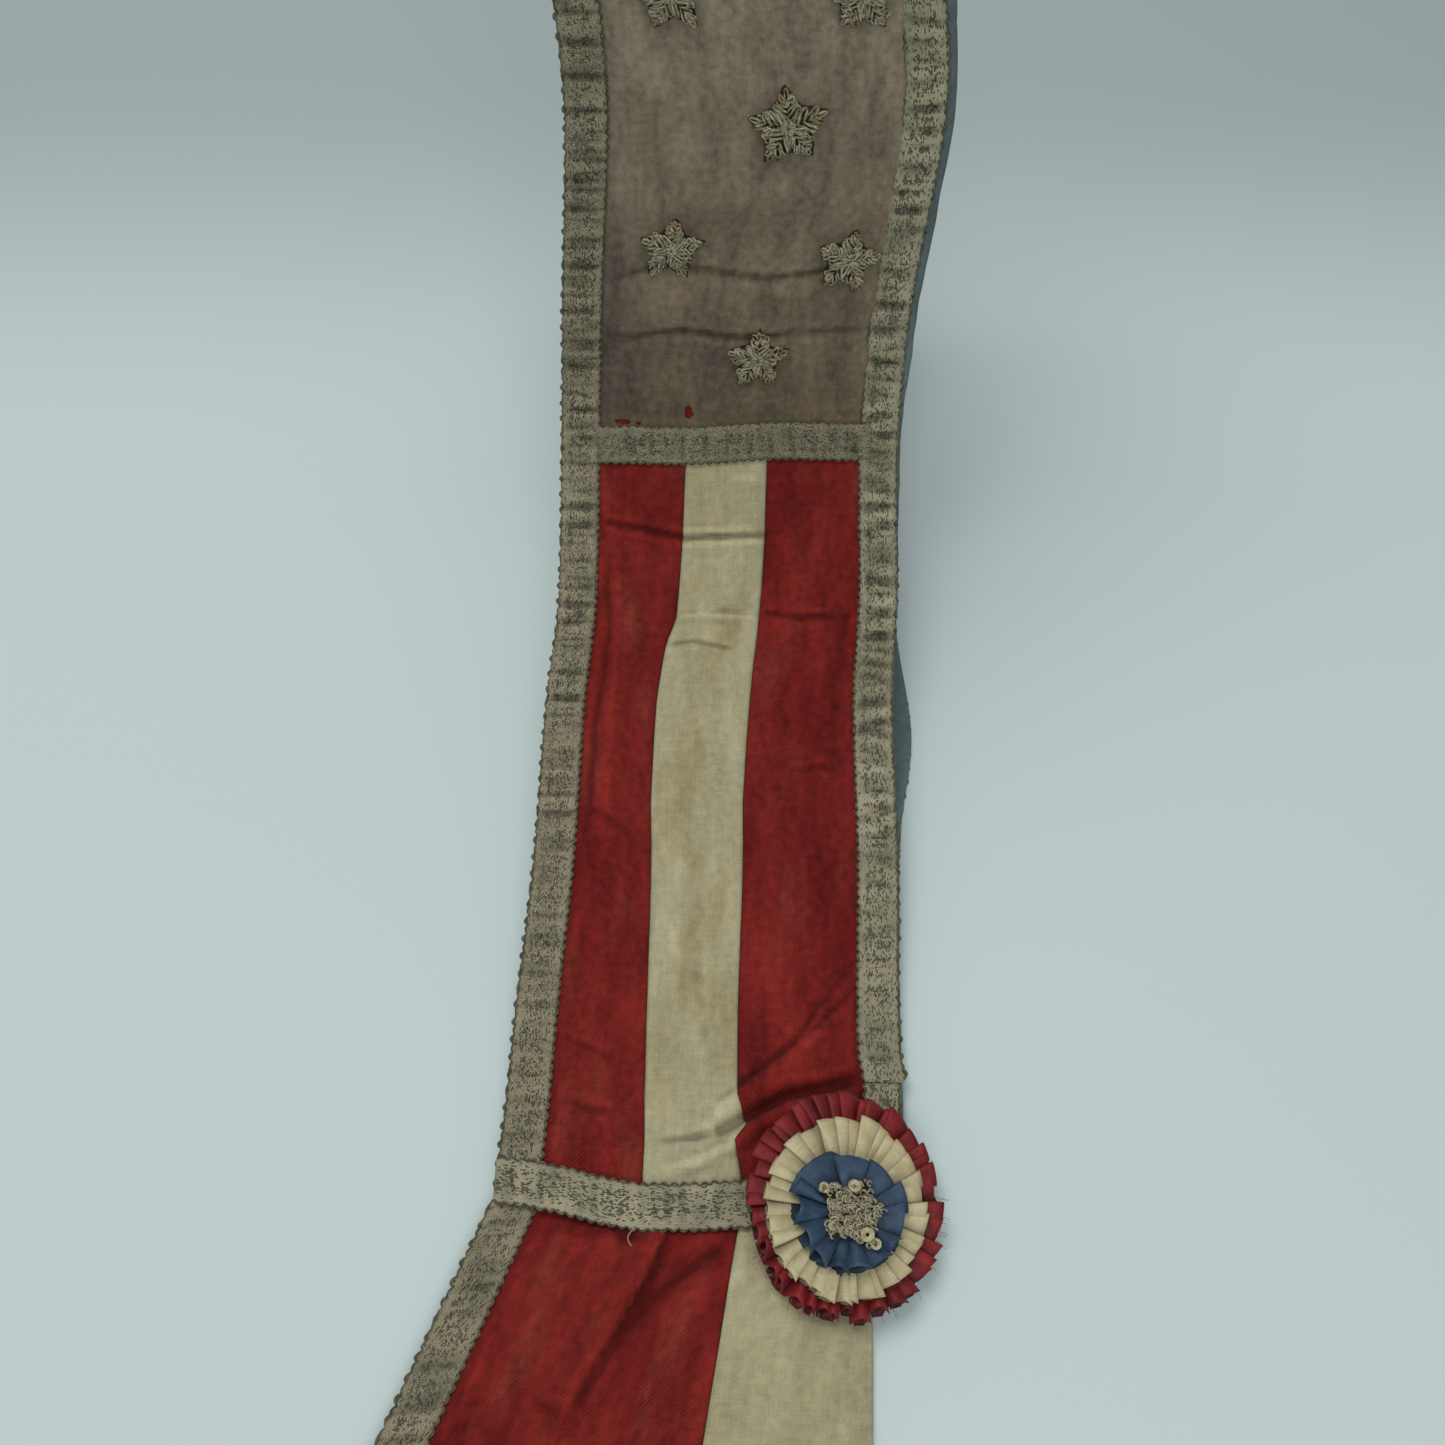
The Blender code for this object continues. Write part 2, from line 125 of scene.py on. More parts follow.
def smooth_step(value, start, end):
    share = np.clip((value - start) / (end - start), 0.0, 1.0)
    return share * share * (3 - 2 * share)


def ripple(u, v, seed, finest, coarsest, waves=14):
    """Smooth noise of about -1 to 1, from plane waves between these two wavelengths."""
    random = np.random.default_rng(seed)
    total = 0.0
    for _ in range(waves):
        length = finest * (coarsest / finest) ** random.random()
        turn, phase = random.uniform(0.0, 2 * np.pi, 2)
        total = total + np.sin(2 * np.pi * (u * np.cos(turn) + v * np.sin(turn)) / length + phase)
    return total / math.sqrt(waves)


def near_path(u, v, path):
    """Signed distance to a path of points, positive on its left, and the share of the way along it."""
    points = np.array(path, float)
    steps = np.linalg.norm(np.diff(points, axis=0), axis=1)
    travelled = np.concatenate([[0.0], np.cumsum(steps)])
    best = np.full(np.broadcast(u, v).shape, 1e9)
    side = best.copy()
    run = np.zeros_like(best)
    for start, end, length, before in zip(points, points[1:], steps, travelled):
        du, dv = (end - start) / length
        along = np.clip((u - start[0]) * du + (v - start[1]) * dv, 0.0, length)
        gap_u = u - start[0] - along * du
        gap_v = v - start[1] - along * dv
        distance = np.hypot(gap_u, gap_v)
        closer = distance < best
        best = np.where(closer, distance, best)
        side = np.where(closer, np.where(du * gap_v - dv * gap_u > 0, distance, -distance), side)
        run = np.where(closer, (before + along) / travelled[-1], run)
    return side, run


def folds(u, v, creases):
    """The sum of ridges and grooves, each (path, height, width on its left, width on its right)."""
    total = 0.0
    for path, height, left, right in creases:
        side, run = near_path(u, v, path)
        width = np.where(side > 0, left, right)
        total = total + height * np.exp(-((side / width) ** 2)) * np.sin(np.pi * run) ** 0.6
    return total


# ---- the loop ----


def smooth_route():
    knots = np.array(ROUTE)
    knots = np.vstack([2 * knots[0] - knots[1], knots, 2 * knots[-1] - knots[-2]])
    points = []
    for before, start, end, after in zip(knots, knots[1:], knots[2:], knots[3:]):
        for t in np.arange(CURVE_STEPS) / CURVE_STEPS:
            linear = (end - before) * t
            square = (2 * before - 5 * start + 4 * end - after) * t**2
            cube = (3 * start - 3 * end + after - before) * t**3
            points.append(start + (linear + square + cube) / 2)
    points.append(knots[-2])
    points = np.array(points)
    points[:, 2] = np.maximum(points[:, 2], STRAP_THICKNESS)
    return points


def even_route():
    """The route every 2 mm, with a smoothed outward direction in Y and Z."""
    points = smooth_route()
    steps = np.hypot(np.diff(points[:, 1]), np.diff(points[:, 2]))
    travelled = np.concatenate([[0.0], np.cumsum(steps)])
    at = np.linspace(0.0, travelled[-1], round(travelled[-1] / (2 * MM)) + 1)
    route = np.column_stack([np.interp(at, travelled, column) for column in points.T])
    along = np.gradient(route[:, 1:3], axis=0)
    padded = np.pad(along, ((4, 4), (0, 0)), mode="edge")
    along = sum(padded[shift : shift + len(at)] for shift in range(9))
    along /= np.linalg.norm(along, axis=1)[:, None]
    return at, route, np.column_stack([-along[:, 1], along[:, 0]])


AT, ROUTE_POINTS, OUTWARD = even_route()
LOOP = AT[-1]
SHOULDER = LOOP / 2


def half_width(along):
    return np.interp(along, AT, ROUTE_POINTS[:, 3]) / 2


def on_loop(along, across, lift):
    """Points this far round the loop, across from the strap's middle and outward of its inside."""
    x = np.interp(along, AT, ROUTE_POINTS[:, 0]) + across
    y = np.interp(along, AT, ROUTE_POINTS[:, 1]) + np.interp(along, AT, OUTWARD[:, 0]) * lift
    z = np.interp(along, AT, ROUTE_POINTS[:, 2]) + np.interp(along, AT, OUTWARD[:, 1]) * lift
    return joined(x, y, np.maximum(z, 0.05 * MM)) + HIP_SEAM


# Creases of the front half, as (distance up from the hip, offset across) in millimetres.
STRAP_CREASES = [
    ([(303, -46), (310, -26), (305, 6), (310, 44)], -0.60, 2.4, 1.2),
    ([(285, -46), (288, -19), (285, 1), (289, 46)], -0.60, 2.0, 1.0),
    ([(330, -45), (326, -20), (333, 8), (328, 44)], 0.45, 6.0, 6.0),
    ([(360, -44), (364, -10), (358, 40)], 0.35, 7.0, 5.0),
    ([(268, 10), (262, 30), (266, 44)], -0.30, 3.0, 3.0),
    ([(222, -46), (219, -30), (215.5, -15), (217, 14)], -0.95, 1.8, 0.8),
    ([(214, -16), (213.5, 0), (214, 14)], 0.35, 1.6, 1.2),
    ([(190, 11), (188, 25), (189, 45)], -0.60, 2.2, 0.8),
    ([(187, -18), (188, -9), (187, 12)], 0.45, 1.0, 0.8),
    ([(200, 14), (196, 28), (199, 44)], 0.35, 4.0, 4.0),
    ([(178, -20), (179, -11), (176, 4)], -0.40, 1.2, 0.7),
    ([(121, -45), (117, -36), (111, -27)], -0.4, 2.0, 1.0),
    ([(46, -44), (42, -34), (36, -22)], -0.4, 2.4, 1.2),
    ([(27, -43), (24, -34), (23, -24)], -0.4, 1.8, 1.0),
    ([(72, -17), (66, -6), (62, 6)], -0.25, 3.0, 2.0),
    ([(136, 14), (133, 26), (134, 42)], -0.30, 2.0, 1.2),
    ([(212, -41), (192, -42), (174, -41), (135, -41.5), (100, -43)], -0.85, 2.4, 2.6),
    ([(205, -36), (180, -36), (140, -36), (110, -38)], 0.40, 3.5, 3.5),
    ([(226, 37), (180, 39), (130, 38), (88, 38)], -0.35, 3.0, 3.0),
    ([(150, -12), (120, -9), (80, -12), (40, -8)], 0.30, 4.0, 4.0),
    ([(96, -38), (70, -30), (40, -34), (18, -30)], 0.45, 6.0, 5.0),
]
# The pull folds above the rosette, where the rosette's stitches gather the cloth.
PULL_FOLDS = [
    ([(72, 50), (58, 39), (42, 27), (27, 10), (22, 2)], 1.9, 1.5, 7.0),
    ([(66, 50), (50, 34), (37, 21), (29, 10)], -1.2, 2.2, 1.5),
    ([(35, 50), (30.5, 38), (27.5, 24), (20, 10), (17, 3)], -3.4, 1.8, 2.4),
    ([(28, 50), (25, 36), (19, 19), (13.5, 7)], 1.7, 3.0, 4.5),
    ([(18, 14), (12.5, 10), (7, -3), (1, -20)], 1.0, 2.6, 1.3),
    ([(18, 13), (16, 2), (14, -14)], -0.7, 1.8, 1.5),
    ([(100, 44), (80, 36), (55, 22)], 0.7, 5.0, 4.0),
    ([(70, -4), (45, 0), (20, 6)], -0.45, 3.0, 3.0),
]


def strap_relief(along, across, seed=1):
    """How far the face cloth stands off its plain height, fading to nothing under the edge lace."""
    front = along < SHOULDER
    u, v = along / MM, across / MM
    soft = 0.60 * ripple(u, v, seed, 22, 70) + 0.06 * ripple(u, v, seed + 1, 6, 14)
    up = np.where(front, u, LOOP / MM - u)
    across_wrinkles = 0.26 * ripple(up, v * 0.25, seed + 2, 9, 20)
    lengthwise = 0.34 * ripple(up * 0.15, v, seed + 3, 9, 20)
    height = soft + across_wrinkles + lengthwise + 0.9
    creased = 2.3 * folds(up, v, STRAP_CREASES) + 1.5 * folds(up, v, PULL_FOLDS)
    gathered = 2.4 * np.exp(-(((up - 26) / 26) ** 2) - ((v - 30) / 24) ** 2)
    height = height + np.where(front, creased + gathered, 0.25 * folds(up, -v, STRAP_CREASES))
    inside = half_width(along) - LACE_WIDTH - np.abs(across)
    ramp = smooth_step(inside, -1.0 * MM, 3.5 * MM)
    low = smooth_step(up, 2.0, 10.0) * smooth_step(np.abs(up - STRIPE_TOP / MM), 5.5, 13.0)
    return np.maximum(height, -0.5) * MM * ramp * low


# ---- meshes ----


class Shape:
    """Grids of faces gathered into one mesh. Each point carries its place on the flat cloth."""

    def __init__(self):
        self.points, self.cloth, self.soil, self.faces, self.slots = [], [], [], [], []
        self.count = 0

    def grid(self, points, cloth, slot=0, around=False, keep=None, soil=0.0):
        """A grid of rows and columns. around joins the last column to the first.

        slot is its material, keep marks the faces to make, and the last argument is each point's painted
        shade and soiling: darker above 0, paler below.
        """
        self.soil.append(np.broadcast_to(soil, points.shape[:2]).ravel())
        rows, columns = points.shape[:2]
        index = np.arange(rows * columns).reshape(rows, columns) + self.count
        if around:
            index = np.concatenate([index, index[:, :1]], axis=1)
        corners = (index[:-1, :-1], index[:-1, 1:], index[1:, 1:], index[1:, :-1])
        quads = np.stack(corners, axis=-1)
        quads = quads.reshape(-1, 4) if keep is None else quads[keep]
        self.points.append(points.reshape(-1, 3))
        self.cloth.append(np.broadcast_to(cloth, points.shape).reshape(-1, 3))
        self.faces += quads.tolist()
        self.slots += [slot] * len(quads)
        self.count += rows * columns
        return self

    def tube(self, path, radius, sides=6, slot=0, seed=0.0):
        """A tube with closed ends along a path of points. radius is one number or one for each point."""
        path = np.asarray(path, float)
        radius = np.broadcast_to(radius, len(path)).copy()
        ahead = np.gradient(path, axis=0)
        ahead /= np.linalg.norm(ahead, axis=1)[:, None] + 1e-12
        hint = np.where(np.abs(ahead[:, 2:3]) < 0.8, [[0.0, 0.0, 1.0]], [[1.0, 0.0, 0.0]])
        side = np.cross(ahead, hint)
        side /= np.linalg.norm(side, axis=1)[:, None] + 1e-12
        over = np.cross(ahead, side)
        path = np.vstack([path[:1], path, path[-1:]])
        side, over = (np.vstack([a[:1], a, a[-1:]]) for a in (side, over))
        radius = np.concatenate([[1e-6], radius, [1e-6]])
        turn = np.arange(sides) * 2 * np.pi / sides
        ring = np.cos(turn)[:, None, None] * side + np.sin(turn)[:, None, None] * over
        points = path[None] + ring * radius[None, :, None]
        steps = np.linalg.norm(np.diff(path, axis=0), axis=1)
        travelled = np.concatenate([[0.0], np.cumsum(steps)])
        cloth = joined(travelled[:, None], turn[None] * MM, seed)
        return self.grid(points.transpose(1, 0, 2), cloth, slot, around=True)

    def build(self, name, materials, thickness=None, outward=-1.0):
        mesh = bpy.data.meshes.new(name)
        mesh.from_pydata(np.vstack(self.points).tolist(), [], self.faces)
        cloth = mesh.attributes.new("cloth", "FLOAT_VECTOR", "POINT")
        cloth.data.foreach_set("vector", np.vstack(self.cloth).astype(np.float32).ravel())
        soil = mesh.attributes.new("soil", "FLOAT", "POINT")
        soil.data.foreach_set("value", np.concatenate(self.soil).astype(np.float32))
        for material in materials:
            mesh.materials.append(material)
        mesh.polygons.foreach_set("material_index", self.slots)
        mesh.shade_smooth()
        piece = bpy.data.objects.new(name, mesh)
        bpy.context.scene.collection.objects.link(piece)
        if thickness:
            solid = piece.modifiers.new("Cloth thickness", "SOLIDIFY")
            solid.thickness = thickness
            solid.offset = outward
        return piece


def hollows(relief, rows, columns):
    """How far each point of a relief lies below its surroundings, -0.5 on ridges to 1 in creases. It sets
    painted shade in the creases.
    """
    around = relief
    for axis, reach in ((0, rows), (1, columns)):
        pad = [(0, 0), (0, 0)]
        pad[axis] = (reach, reach)
        padded = np.pad(around, pad, mode="edge")
        size = relief.shape[axis]
        shifts = range(2 * reach + 1)
        around = sum(np.take(padded, range(s, s + size), axis=axis) for s in shifts) / len(shifts)
    depth = (around - relief) / (0.45 * MM)
    return np.clip(np.sign(depth) * np.maximum(np.abs(depth) - 0.28, 0.0) * 1.3, -0.5, 1.0)


def steps_between(start, end, step):
    return np.linspace(start, end, max(2, round(abs(end - start) / step) + 1))


# ---- materials ----

LIGHT_SHARE = 1.05
# The star field's cloth grows paler between these distances up from the hip, in millimetres: painted light on
# the upper loop.
SHOULDER_LIGHT_START, SHOULDER_LIGHT_END = 262, 385


def colour(red, green, blue):
    """The linear colour that shows as this display colour, 0 to 255, under the studio light."""
    shown = np.array((red, green, blue)) / 255
    linear = np.where(shown <= 0.04045, shown / 12.92, ((shown + 0.055) / 1.055) ** 2.4)
    return (*np.minimum(linear / LIGHT_SHARE, 0.9), 1.0)


class Shader:
    """Short calls that add nodes to one material. Its cloth vector is in millimetres."""

    def __init__(self, name, roughness=0.9, **settings):
        self.material = bpy.data.materials.new(name)
        self.material.use_nodes = True
        self.tree = self.material.node_tree
        self.shader = self.tree.nodes["Principled BSDF"]
        self.shader.inputs["Roughness"].default_value = roughness
        for socket, value in settings.items():
            self.shader.inputs[socket.replace("_", " ")].default_value = value
        cloth = self.add("Attribute", attribute_name="cloth").outputs["Vector"]
        scaled = self.add("VectorMath", {0: cloth, "Scale": 1 / MM}, operation="SCALE")
        self.cloth = scaled.outputs[0]
        split = self.add("SeparateXYZ", {0: self.cloth})
        self.along, self.across, self.seed = split.outputs

    def add(self, kind, inputs=None, **settings):
        node = self.tree.nodes.new("ShaderNode" + kind)
        for key, value in settings.items():
            setattr(node, key, value)
        for key, value in (inputs or {}).items():
            if isinstance(value, bpy.types.NodeSocket):
                self.tree.links.new(value, node.inputs[key])
            else:
                node.inputs[key].default_value = value
        return node

    def math(self, operation, first, second=0.0, third=0.0):
        return self.add("Math", {0: first, 1: second, 2: third}, operation=operation).outputs[0]

    def mixed(self, factor, first, second, blend="MIX"):
        node = self.add("Mix", {0: factor, 6: first, 7: second}, data_type="RGBA", blend_type=blend)
        return node.outputs[2]

    def between(self, value, start, end):
        node = self.add("MapRange", {0: value, 1: start, 2: end}, interpolation_type="SMOOTHSTEP")
        return node.outputs[0]

    def noise(self, size, detail=2.0, stretch=(1.0, 1.0, 1.0), shift=0.0):
        """Noise whose features are about this many millimetres, longer along a direction stretched."""
        place = self.add("Mapping", {0: self.cloth, "Location": (shift, shift, shift),
                                     "Scale": tuple(1 / (size * s) for s in stretch)})
        node = self.add("TexNoise", {"Vector": place.outputs[0], "Scale": 1.0, "Detail": detail})
        return node.outputs[0]

    def wave(self, phase, period):
        """A sine of 0 to 1 over a phase in millimetres."""
        swing = self.math("SINE", self.math("MULTIPLY", phase, 2 * math.pi / period))
        return self.math("MULTIPLY_ADD", swing, 0.5, 0.5)

    def patches(self, start, end, size, detail=2.0, stretch=(1.0, 1.0, 1.0), shift=0.0):
        """Noise brought to 0 where it is below start and to 1 where it is above end."""
        return self.between(self.noise(size, detail, stretch, shift), start, end)

    def washed(self, base, where, strength, tint):
        """base with this much of another colour where the mask is 1."""
        return self.mixed(self.math("MULTIPLY", where, strength), base, tint)

    def toned(self, base, tone):
        """base times a grey tone."""
        grey = self.add("CombineColor", {0: tone, 1: tone, 2: tone}).outputs[0]
        return self.mixed(1.0, base, grey, "MULTIPLY")

    def soiled(self, base, share):
        """Painted shade in the creases and under overlaps, a little paler along the ridges, with any stains a
        piece carries.
        """
        soil = self.add("Attribute", attribute_name="soil").outputs["Fac"]
        return self.toned(base, self.math("MULTIPLY_ADD", soil, -share, 1.0))

    def finish(self, base, height=None, strength=0.5, distance=0.1 * MM):
        self.tree.links.new(base, self.shader.inputs["Base Color"])
        if height is not None:
            bump = self.add("Bump", {"Height": height, "Strength": strength, "Distance": distance})
            self.tree.links.new(bump.outputs[0], self.shader.inputs["Normal"])
        return self.material


def woven(name, pale, deep, stain, weave, patch=22.0, fleck=0.5, mottle=0.5, shoulder_light=None):
    """Old cotton or wool: large patches of two tones, stains, flecked threads and a weave.

    weave is "plain" or "twill", and mottle is how blotchy the dye has become. The last argument is
    the paler colour that the cloth nears toward the shoulder: painted light on the upper loop.
    """
    shader = Shader(name, roughness=0.95, Specular_IOR_Level=0.12, Sheen_Weight=0.03, Sheen_Roughness=0.5)
    large = shader.patches(0.30, 0.70, patch, 3.0, (1.6, 1.0, 1.0))
    base = shader.mixed(large, colour(*pale), colour(*deep))
    stains = shader.patches(0.50, 0.76, patch * 0.7, 5.0, (2.2, 0.8, 1.0), 31.0)
    base = shader.mixed(stains, base, colour(*stain))
    # Painted light: paler toward the shoulder, where the upper loop is lit.
    if shoulder_light:
        away = shader.math("ABSOLUTE", shader.math("SUBTRACT", shader.along, SHOULDER / MM))
        ramp = {0: away, 1: SHOULDER / MM - SHOULDER_LIGHT_START, 2: SHOULDER / MM - SHOULDER_LIGHT_END}
        base = shader.washed(base, shader.add("MapRange", ramp).outputs[0], 0.9, colour(*shoulder_light))
    lengthwise, crosswise = shader.noise(1.1, 2.0, (9.0, 0.5, 1.0)), shader.noise(1.1, 2.0, (0.5, 9.0, 1.0))
    streaks = shader.math("MULTIPLY", shader.math("ADD", lengthwise, crosswise), 0.30)
    threads = shader.math("MULTIPLY_ADD", shader.noise(fleck, 3.0), 0.75, streaks)
    if weave == "twill":
        rib = shader.wave(shader.math("SUBTRACT", shader.across, shader.along), 1.45)
    else:
        rib = shader.math("MULTIPLY", shader.wave(shader.along, 0.47), shader.wave(shader.across, 0.53))
    weight = 0.34 if weave == "twill" else 0.10
    tone = shader.math("MULTIPLY_ADD", rib, weight, shader.math("MULTIPLY_ADD", threads, 0.70, 0.43))
    small, long = shader.noise(2.6, 5.0, shift=17.0), shader.noise(9.0, 3.0, (2.5, 0.7, 1.0), 23.0)
    blotches = shader.math("SUBTRACT", shader.math("ADD", small, long), 1.0)
    base = shader.toned(base, shader.math("MULTIPLY_ADD", blotches, mottle, tone))
    # Painted shade in the creases, and round the stars on the star field.
    base = shader.soiled(base, 0.46)
    height = shader.math("MULTIPLY_ADD", rib, 0.6, threads)
    return shader.finish(base, height, 0.45, 0.12 * MM)


def lace_material(name="silver_lace", pale=(176, 170, 140), dark=(46, 42, 29)):
    """Tarnished metal lace: lengthwise wire-wound threads with dark floats in a small diaper."""
    shader = Shader(name, roughness=0.62, Metallic=0.2, Specular_IOR_Level=0.3)
    wander = shader.add("TexNoise", {"Vector": shader.cloth, "Scale": 0.9, "Detail": 1.0}).outputs[1]
    place = shader.add("VectorMath", {0: wander, "Scale": 0.07}, operation="SCALE").outputs[0]
    place = shader.add("VectorMath", {0: shader.cloth, 1: place}).outputs[0]
    brick = shader.add("TexBrick", {"Vector": place, "Color1": (0, 0, 0, 1), "Color2": (1, 1, 1, 1),
                                    "Mortar": (0.2, 0.2, 0.2, 1), "Scale": 1.0, "Mortar Size": 0.05,
                                    "Mortar Smooth": 0.7, "Brick Width": 0.90, "Row Height": 0.40})
    chance = shader.add("SeparateColor", {0: brick.outputs[0]}).outputs[0]
    middle = shader.between(shader.math("ABSOLUTE", shader.across), 4.3, 3.0)
    diaper = shader.math("MULTIPLY", shader.wave(shader.along, 4.6), shader.wave(shader.across, 4.4))
    bars = shader.patches(0.50, 0.68, 1.5, 2.0, (1.0, 7.0, 1.0), 3.0)
    share = shader.math("MULTIPLY_ADD", bars, 0.50, shader.math("MULTIPLY_ADD", diaper, 0.38, 0.10))
    drift = shader.patches(0.35, 0.65, 7.0)
    share = shader.math("MULTIPLY", share, middle)
    share = shader.math("MULTIPLY_ADD", share, shader.math("MULTIPLY_ADD", drift, 0.6, 0.55), 0.12)
    bright = shader.between(shader.math("SUBTRACT", chance, share), -0.04, 0.10)
    base = shader.mixed(bright, colour(*dark), colour(*pale))
    tarnish = shader.patches(0.30, 0.72, 14.0, 4.0, shift=11.0)
    base = shader.washed(base, tarnish, 0.55, colour(88, 86, 66))
    base = shader.washed(base, brick.outputs[1], 0.75, colour(56, 52, 38))
    grain = shader.noise(0.22, 3.0)
    base = shader.mixed(shader.between(grain, 0.48, 0.72), base, colour(198, 192, 162))
    # Painted shade in the hollows of the lace's puckers.
    base = shader.soiled(base, 0.55)
    height = shader.math("MULTIPLY_ADD", bright, 0.8, shader.math("MULTIPLY", brick.outputs[1], -0.9))
    height = shader.math("ADD", height, grain)
    return shader.finish(base, height, 0.8, 0.22 * MM)


def picot_material():
    """The wound thread along the lace's edges, darker than the lace itself; its darkness is partly painted
    shadow along the lace's edge.
    """
    shader = Shader("silver_picot", roughness=0.6, Metallic=0.25)
    coil = shader.wave(shader.along, 0.55)
    base = shader.mixed(shader.patches(0.35, 0.68, 2.4, 3.0), colour(44, 42, 29), colour(104, 99, 76))
    base = shader.washed(base, coil, 0.45, colour(128, 124, 100))
    return shader.finish(base, coil, 0.9, 0.2 * MM)


def bullion_material(name="bullion", pale=(186, 178, 148), deep=(62, 56, 38), rust=(126, 96, 48)):
    """Coiled silver wire gone dull, brassy in places."""
    shader = Shader(name, roughness=0.42, Metallic=0.45)
    coil = shader.wave(shader.along, 0.34)
    base = shader.mixed(shader.patches(0.34, 0.66, 1.6, 3.0), colour(*deep), colour(*pale))
    base = shader.mixed(shader.patches(0.62, 0.74, 5.0, shift=7.0), base, colour(*rust))
    base = shader.washed(base, coil, 0.35, colour(214, 208, 180))
    return shader.finish(base, coil, 0.8, 0.12 * MM)


def plain_thread(name, tint):
    shader = Shader(name, roughness=0.8)
    base = shader.mixed(shader.noise(0.8), colour(*tint), colour(*(0.75 * c for c in tint)))
    return shader.finish(base)


def ribbon_material(name, pale, deep, edge):
    """Fine ribbed silk, a little worn, with painted shade under its overlaps and painted light at its folds.
    """
    shader = Shader(name, roughness=0.55, Specular_IOR_Level=0.3, Sheen_Weight=0.06, Sheen_Roughness=0.4)
    base = shader.mixed(shader.patches(0.34, 0.66, 6.0, 3.0), colour(*pale), colour(*deep))
    rib = shader.wave(shader.along, 0.42)
    streaks = shader.noise(0.8, 3.0, (0.4, 7.0, 1.0))
    tone = shader.math("MULTIPLY_ADD", streaks, 0.5, shader.math("MULTIPLY_ADD", rib, 0.12, 0.68))
    base = shader.toned(base, tone)
    base = shader.washed(base, shader.patches(0.60, 0.76, 1.4, 4.0, shift=5.0), 0.45, colour(*edge))
    # Painted shade under each pleat's overlap and painted light along its fold.
    base = shader.soiled(base, 0.80)
    return shader.finish(base, shader.math("ADD", rib, streaks), 0.35, 0.1 * MM)


LACE = lace_material(pale=(178, 172, 143))
# A darker copy of the lace, for the left lace and the tail's laces.
DARKER_LACE = lace_material("silver_lace_darker", (148, 139, 113), (40, 35, 24))
# A darker copy for the cross bands: painted shade where the raised loop shades them.
SHADED_LACE = lace_material("silver_lace_shaded", (126, 121, 96), (36, 33, 23))
PICOT = picot_material()
BULLION = bullion_material()
RUST = bullion_material("bullion_rust", (150, 116, 66), (92, 64, 32), (120, 78, 34))
SPANGLE = bullion_material("spangle", (206, 198, 160), (150, 138, 92), (160, 132, 70))
# The stars' padding, made dark as painted shade between the wire loops and round each star.
SHADED_PADDING = woven("star_padding_shaded", (52, 46, 34), (38, 34, 25), (62, 52, 34), "plain", 4.0)
RED = woven("red_twill", (113, 32, 27), (97, 23, 20), (112, 43, 34), "twill", 24.0, 0.4, 1.25)
CREAM = woven("cream_cloth", (172, 166, 134), (162, 155, 121), (154, 142, 104), "plain", 24.0)
# The star field's cloth pales toward the shoulder as painted light.
STAR_CLOTH = woven("star_cloth", (112, 100, 81), (95, 84, 69), (82, 70, 68), "plain", 52.0, 0.5, 1.1,
                   shoulder_light=(138, 126, 108))
LINING = woven("lining_cotton", (100, 116, 114), (90, 104, 102), (82, 92, 88), "plain", 30.0)
CANVAS = woven("canvas", (150, 142, 120), (134, 126, 104), (120, 110, 84), "plain", 12.0)
RED_RIBBON = ribbon_material("red_ribbon", (122, 26, 28), (94, 14, 17), (146, 62, 58))
CREAM_RIBBON = ribbon_material("cream_ribbon", (180, 171, 136), (160, 149, 112), (196, 190, 160))
BLUE_RIBBON = ribbon_material("blue_ribbon", (53, 74, 95), (36, 54, 74), (84, 99, 113))
PALE_THREAD = plain_thread("pale_thread", (176, 160, 134))
PINK_THREAD = plain_thread("frayed_silk", (168, 112, 106))


# ---- strap ----


def declare(piece, body, nodes, flat=None):
    """Says what a piece rides on and stands for. Its flat size is not used."""
    if body:
        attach(piece, body)
    if nodes:
        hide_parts(*nodes)
    return piece


def strap_sheet(name, start, end, left, right, top, material, thickness=CLOTH, step=0.9 * MM, hole=None):
    """Cloth between two distances. left and right give its edges across for each distance."""
    along = steps_between(start, end, step)
    count = max(6, round(float(np.mean(right(along) - left(along))) / step))
    share = np.linspace(0.0, 1.0, count + 1)
    if hole is not None:
        along = np.union1d(along, HOLE_ROWS)
        share = np.union1d(share, HOLE_COLUMNS)
    along = along[:, None]
    across = left(along) + (right(along) - left(along)) * share
    relief = strap_relief(along, across)
    lift = top + relief
    # Painted shade in the relief's creases, a little paler on its ridges.
    soil = hollows(relief, round(3 * MM / step), round(3 * MM / step))
    # Darker round each star: partly a stain, partly painted shade of its raised work.
    if material is STAR_CLOTH and end < SHOULDER:
        for distance, offset, radius in FRONT_STARS:
            away = np.hypot(along - distance, across - offset) / radius
            soil = soil + STAR_STAIN_AND_SHADE * np.exp(-np.maximum(away - 0.75, 0.0) ** 2 / 0.10)
    to_seam = np.minimum(across - left(along), right(along) - across)
    lift = lift - SEAM_DEPTH * np.exp(-((to_seam / (0.7 * MM)) ** 2))
    points = on_loop(along, across, lift)
    keep = None
    if hole is not None:
        middle_along = (along[1:] + along[:-1]) / 2
        middle_across = (across[:-1, :-1] + across[1:, 1:]) / 2
        keep = ~hole(middle_along + 0 * middle_across, middle_across)
    shape = Shape().grid(points, joined(along, across, 0.013 * len(name)), keep=keep, soil=soil)
    return shape.build(name, [material], thickness)


# The groove at a face cloth's seams, and how much darker the cloth is round the stars, partly a stain and
# partly painted shade.
SEAM_DEPTH = 0.30 * MM
STAR_STAIN_AND_SHADE = 0.42


def edge(side, offset=0.0):
    """The strap's left (-1) or right (1) edge, moved this far right."""
    return lambda along: side * half_width(along) + offset


def flat_size(start, end, left, right):
    middle = np.array([(start + end) / 2])
    return (float((right(middle) - left(middle))[0]), abs(end - start))


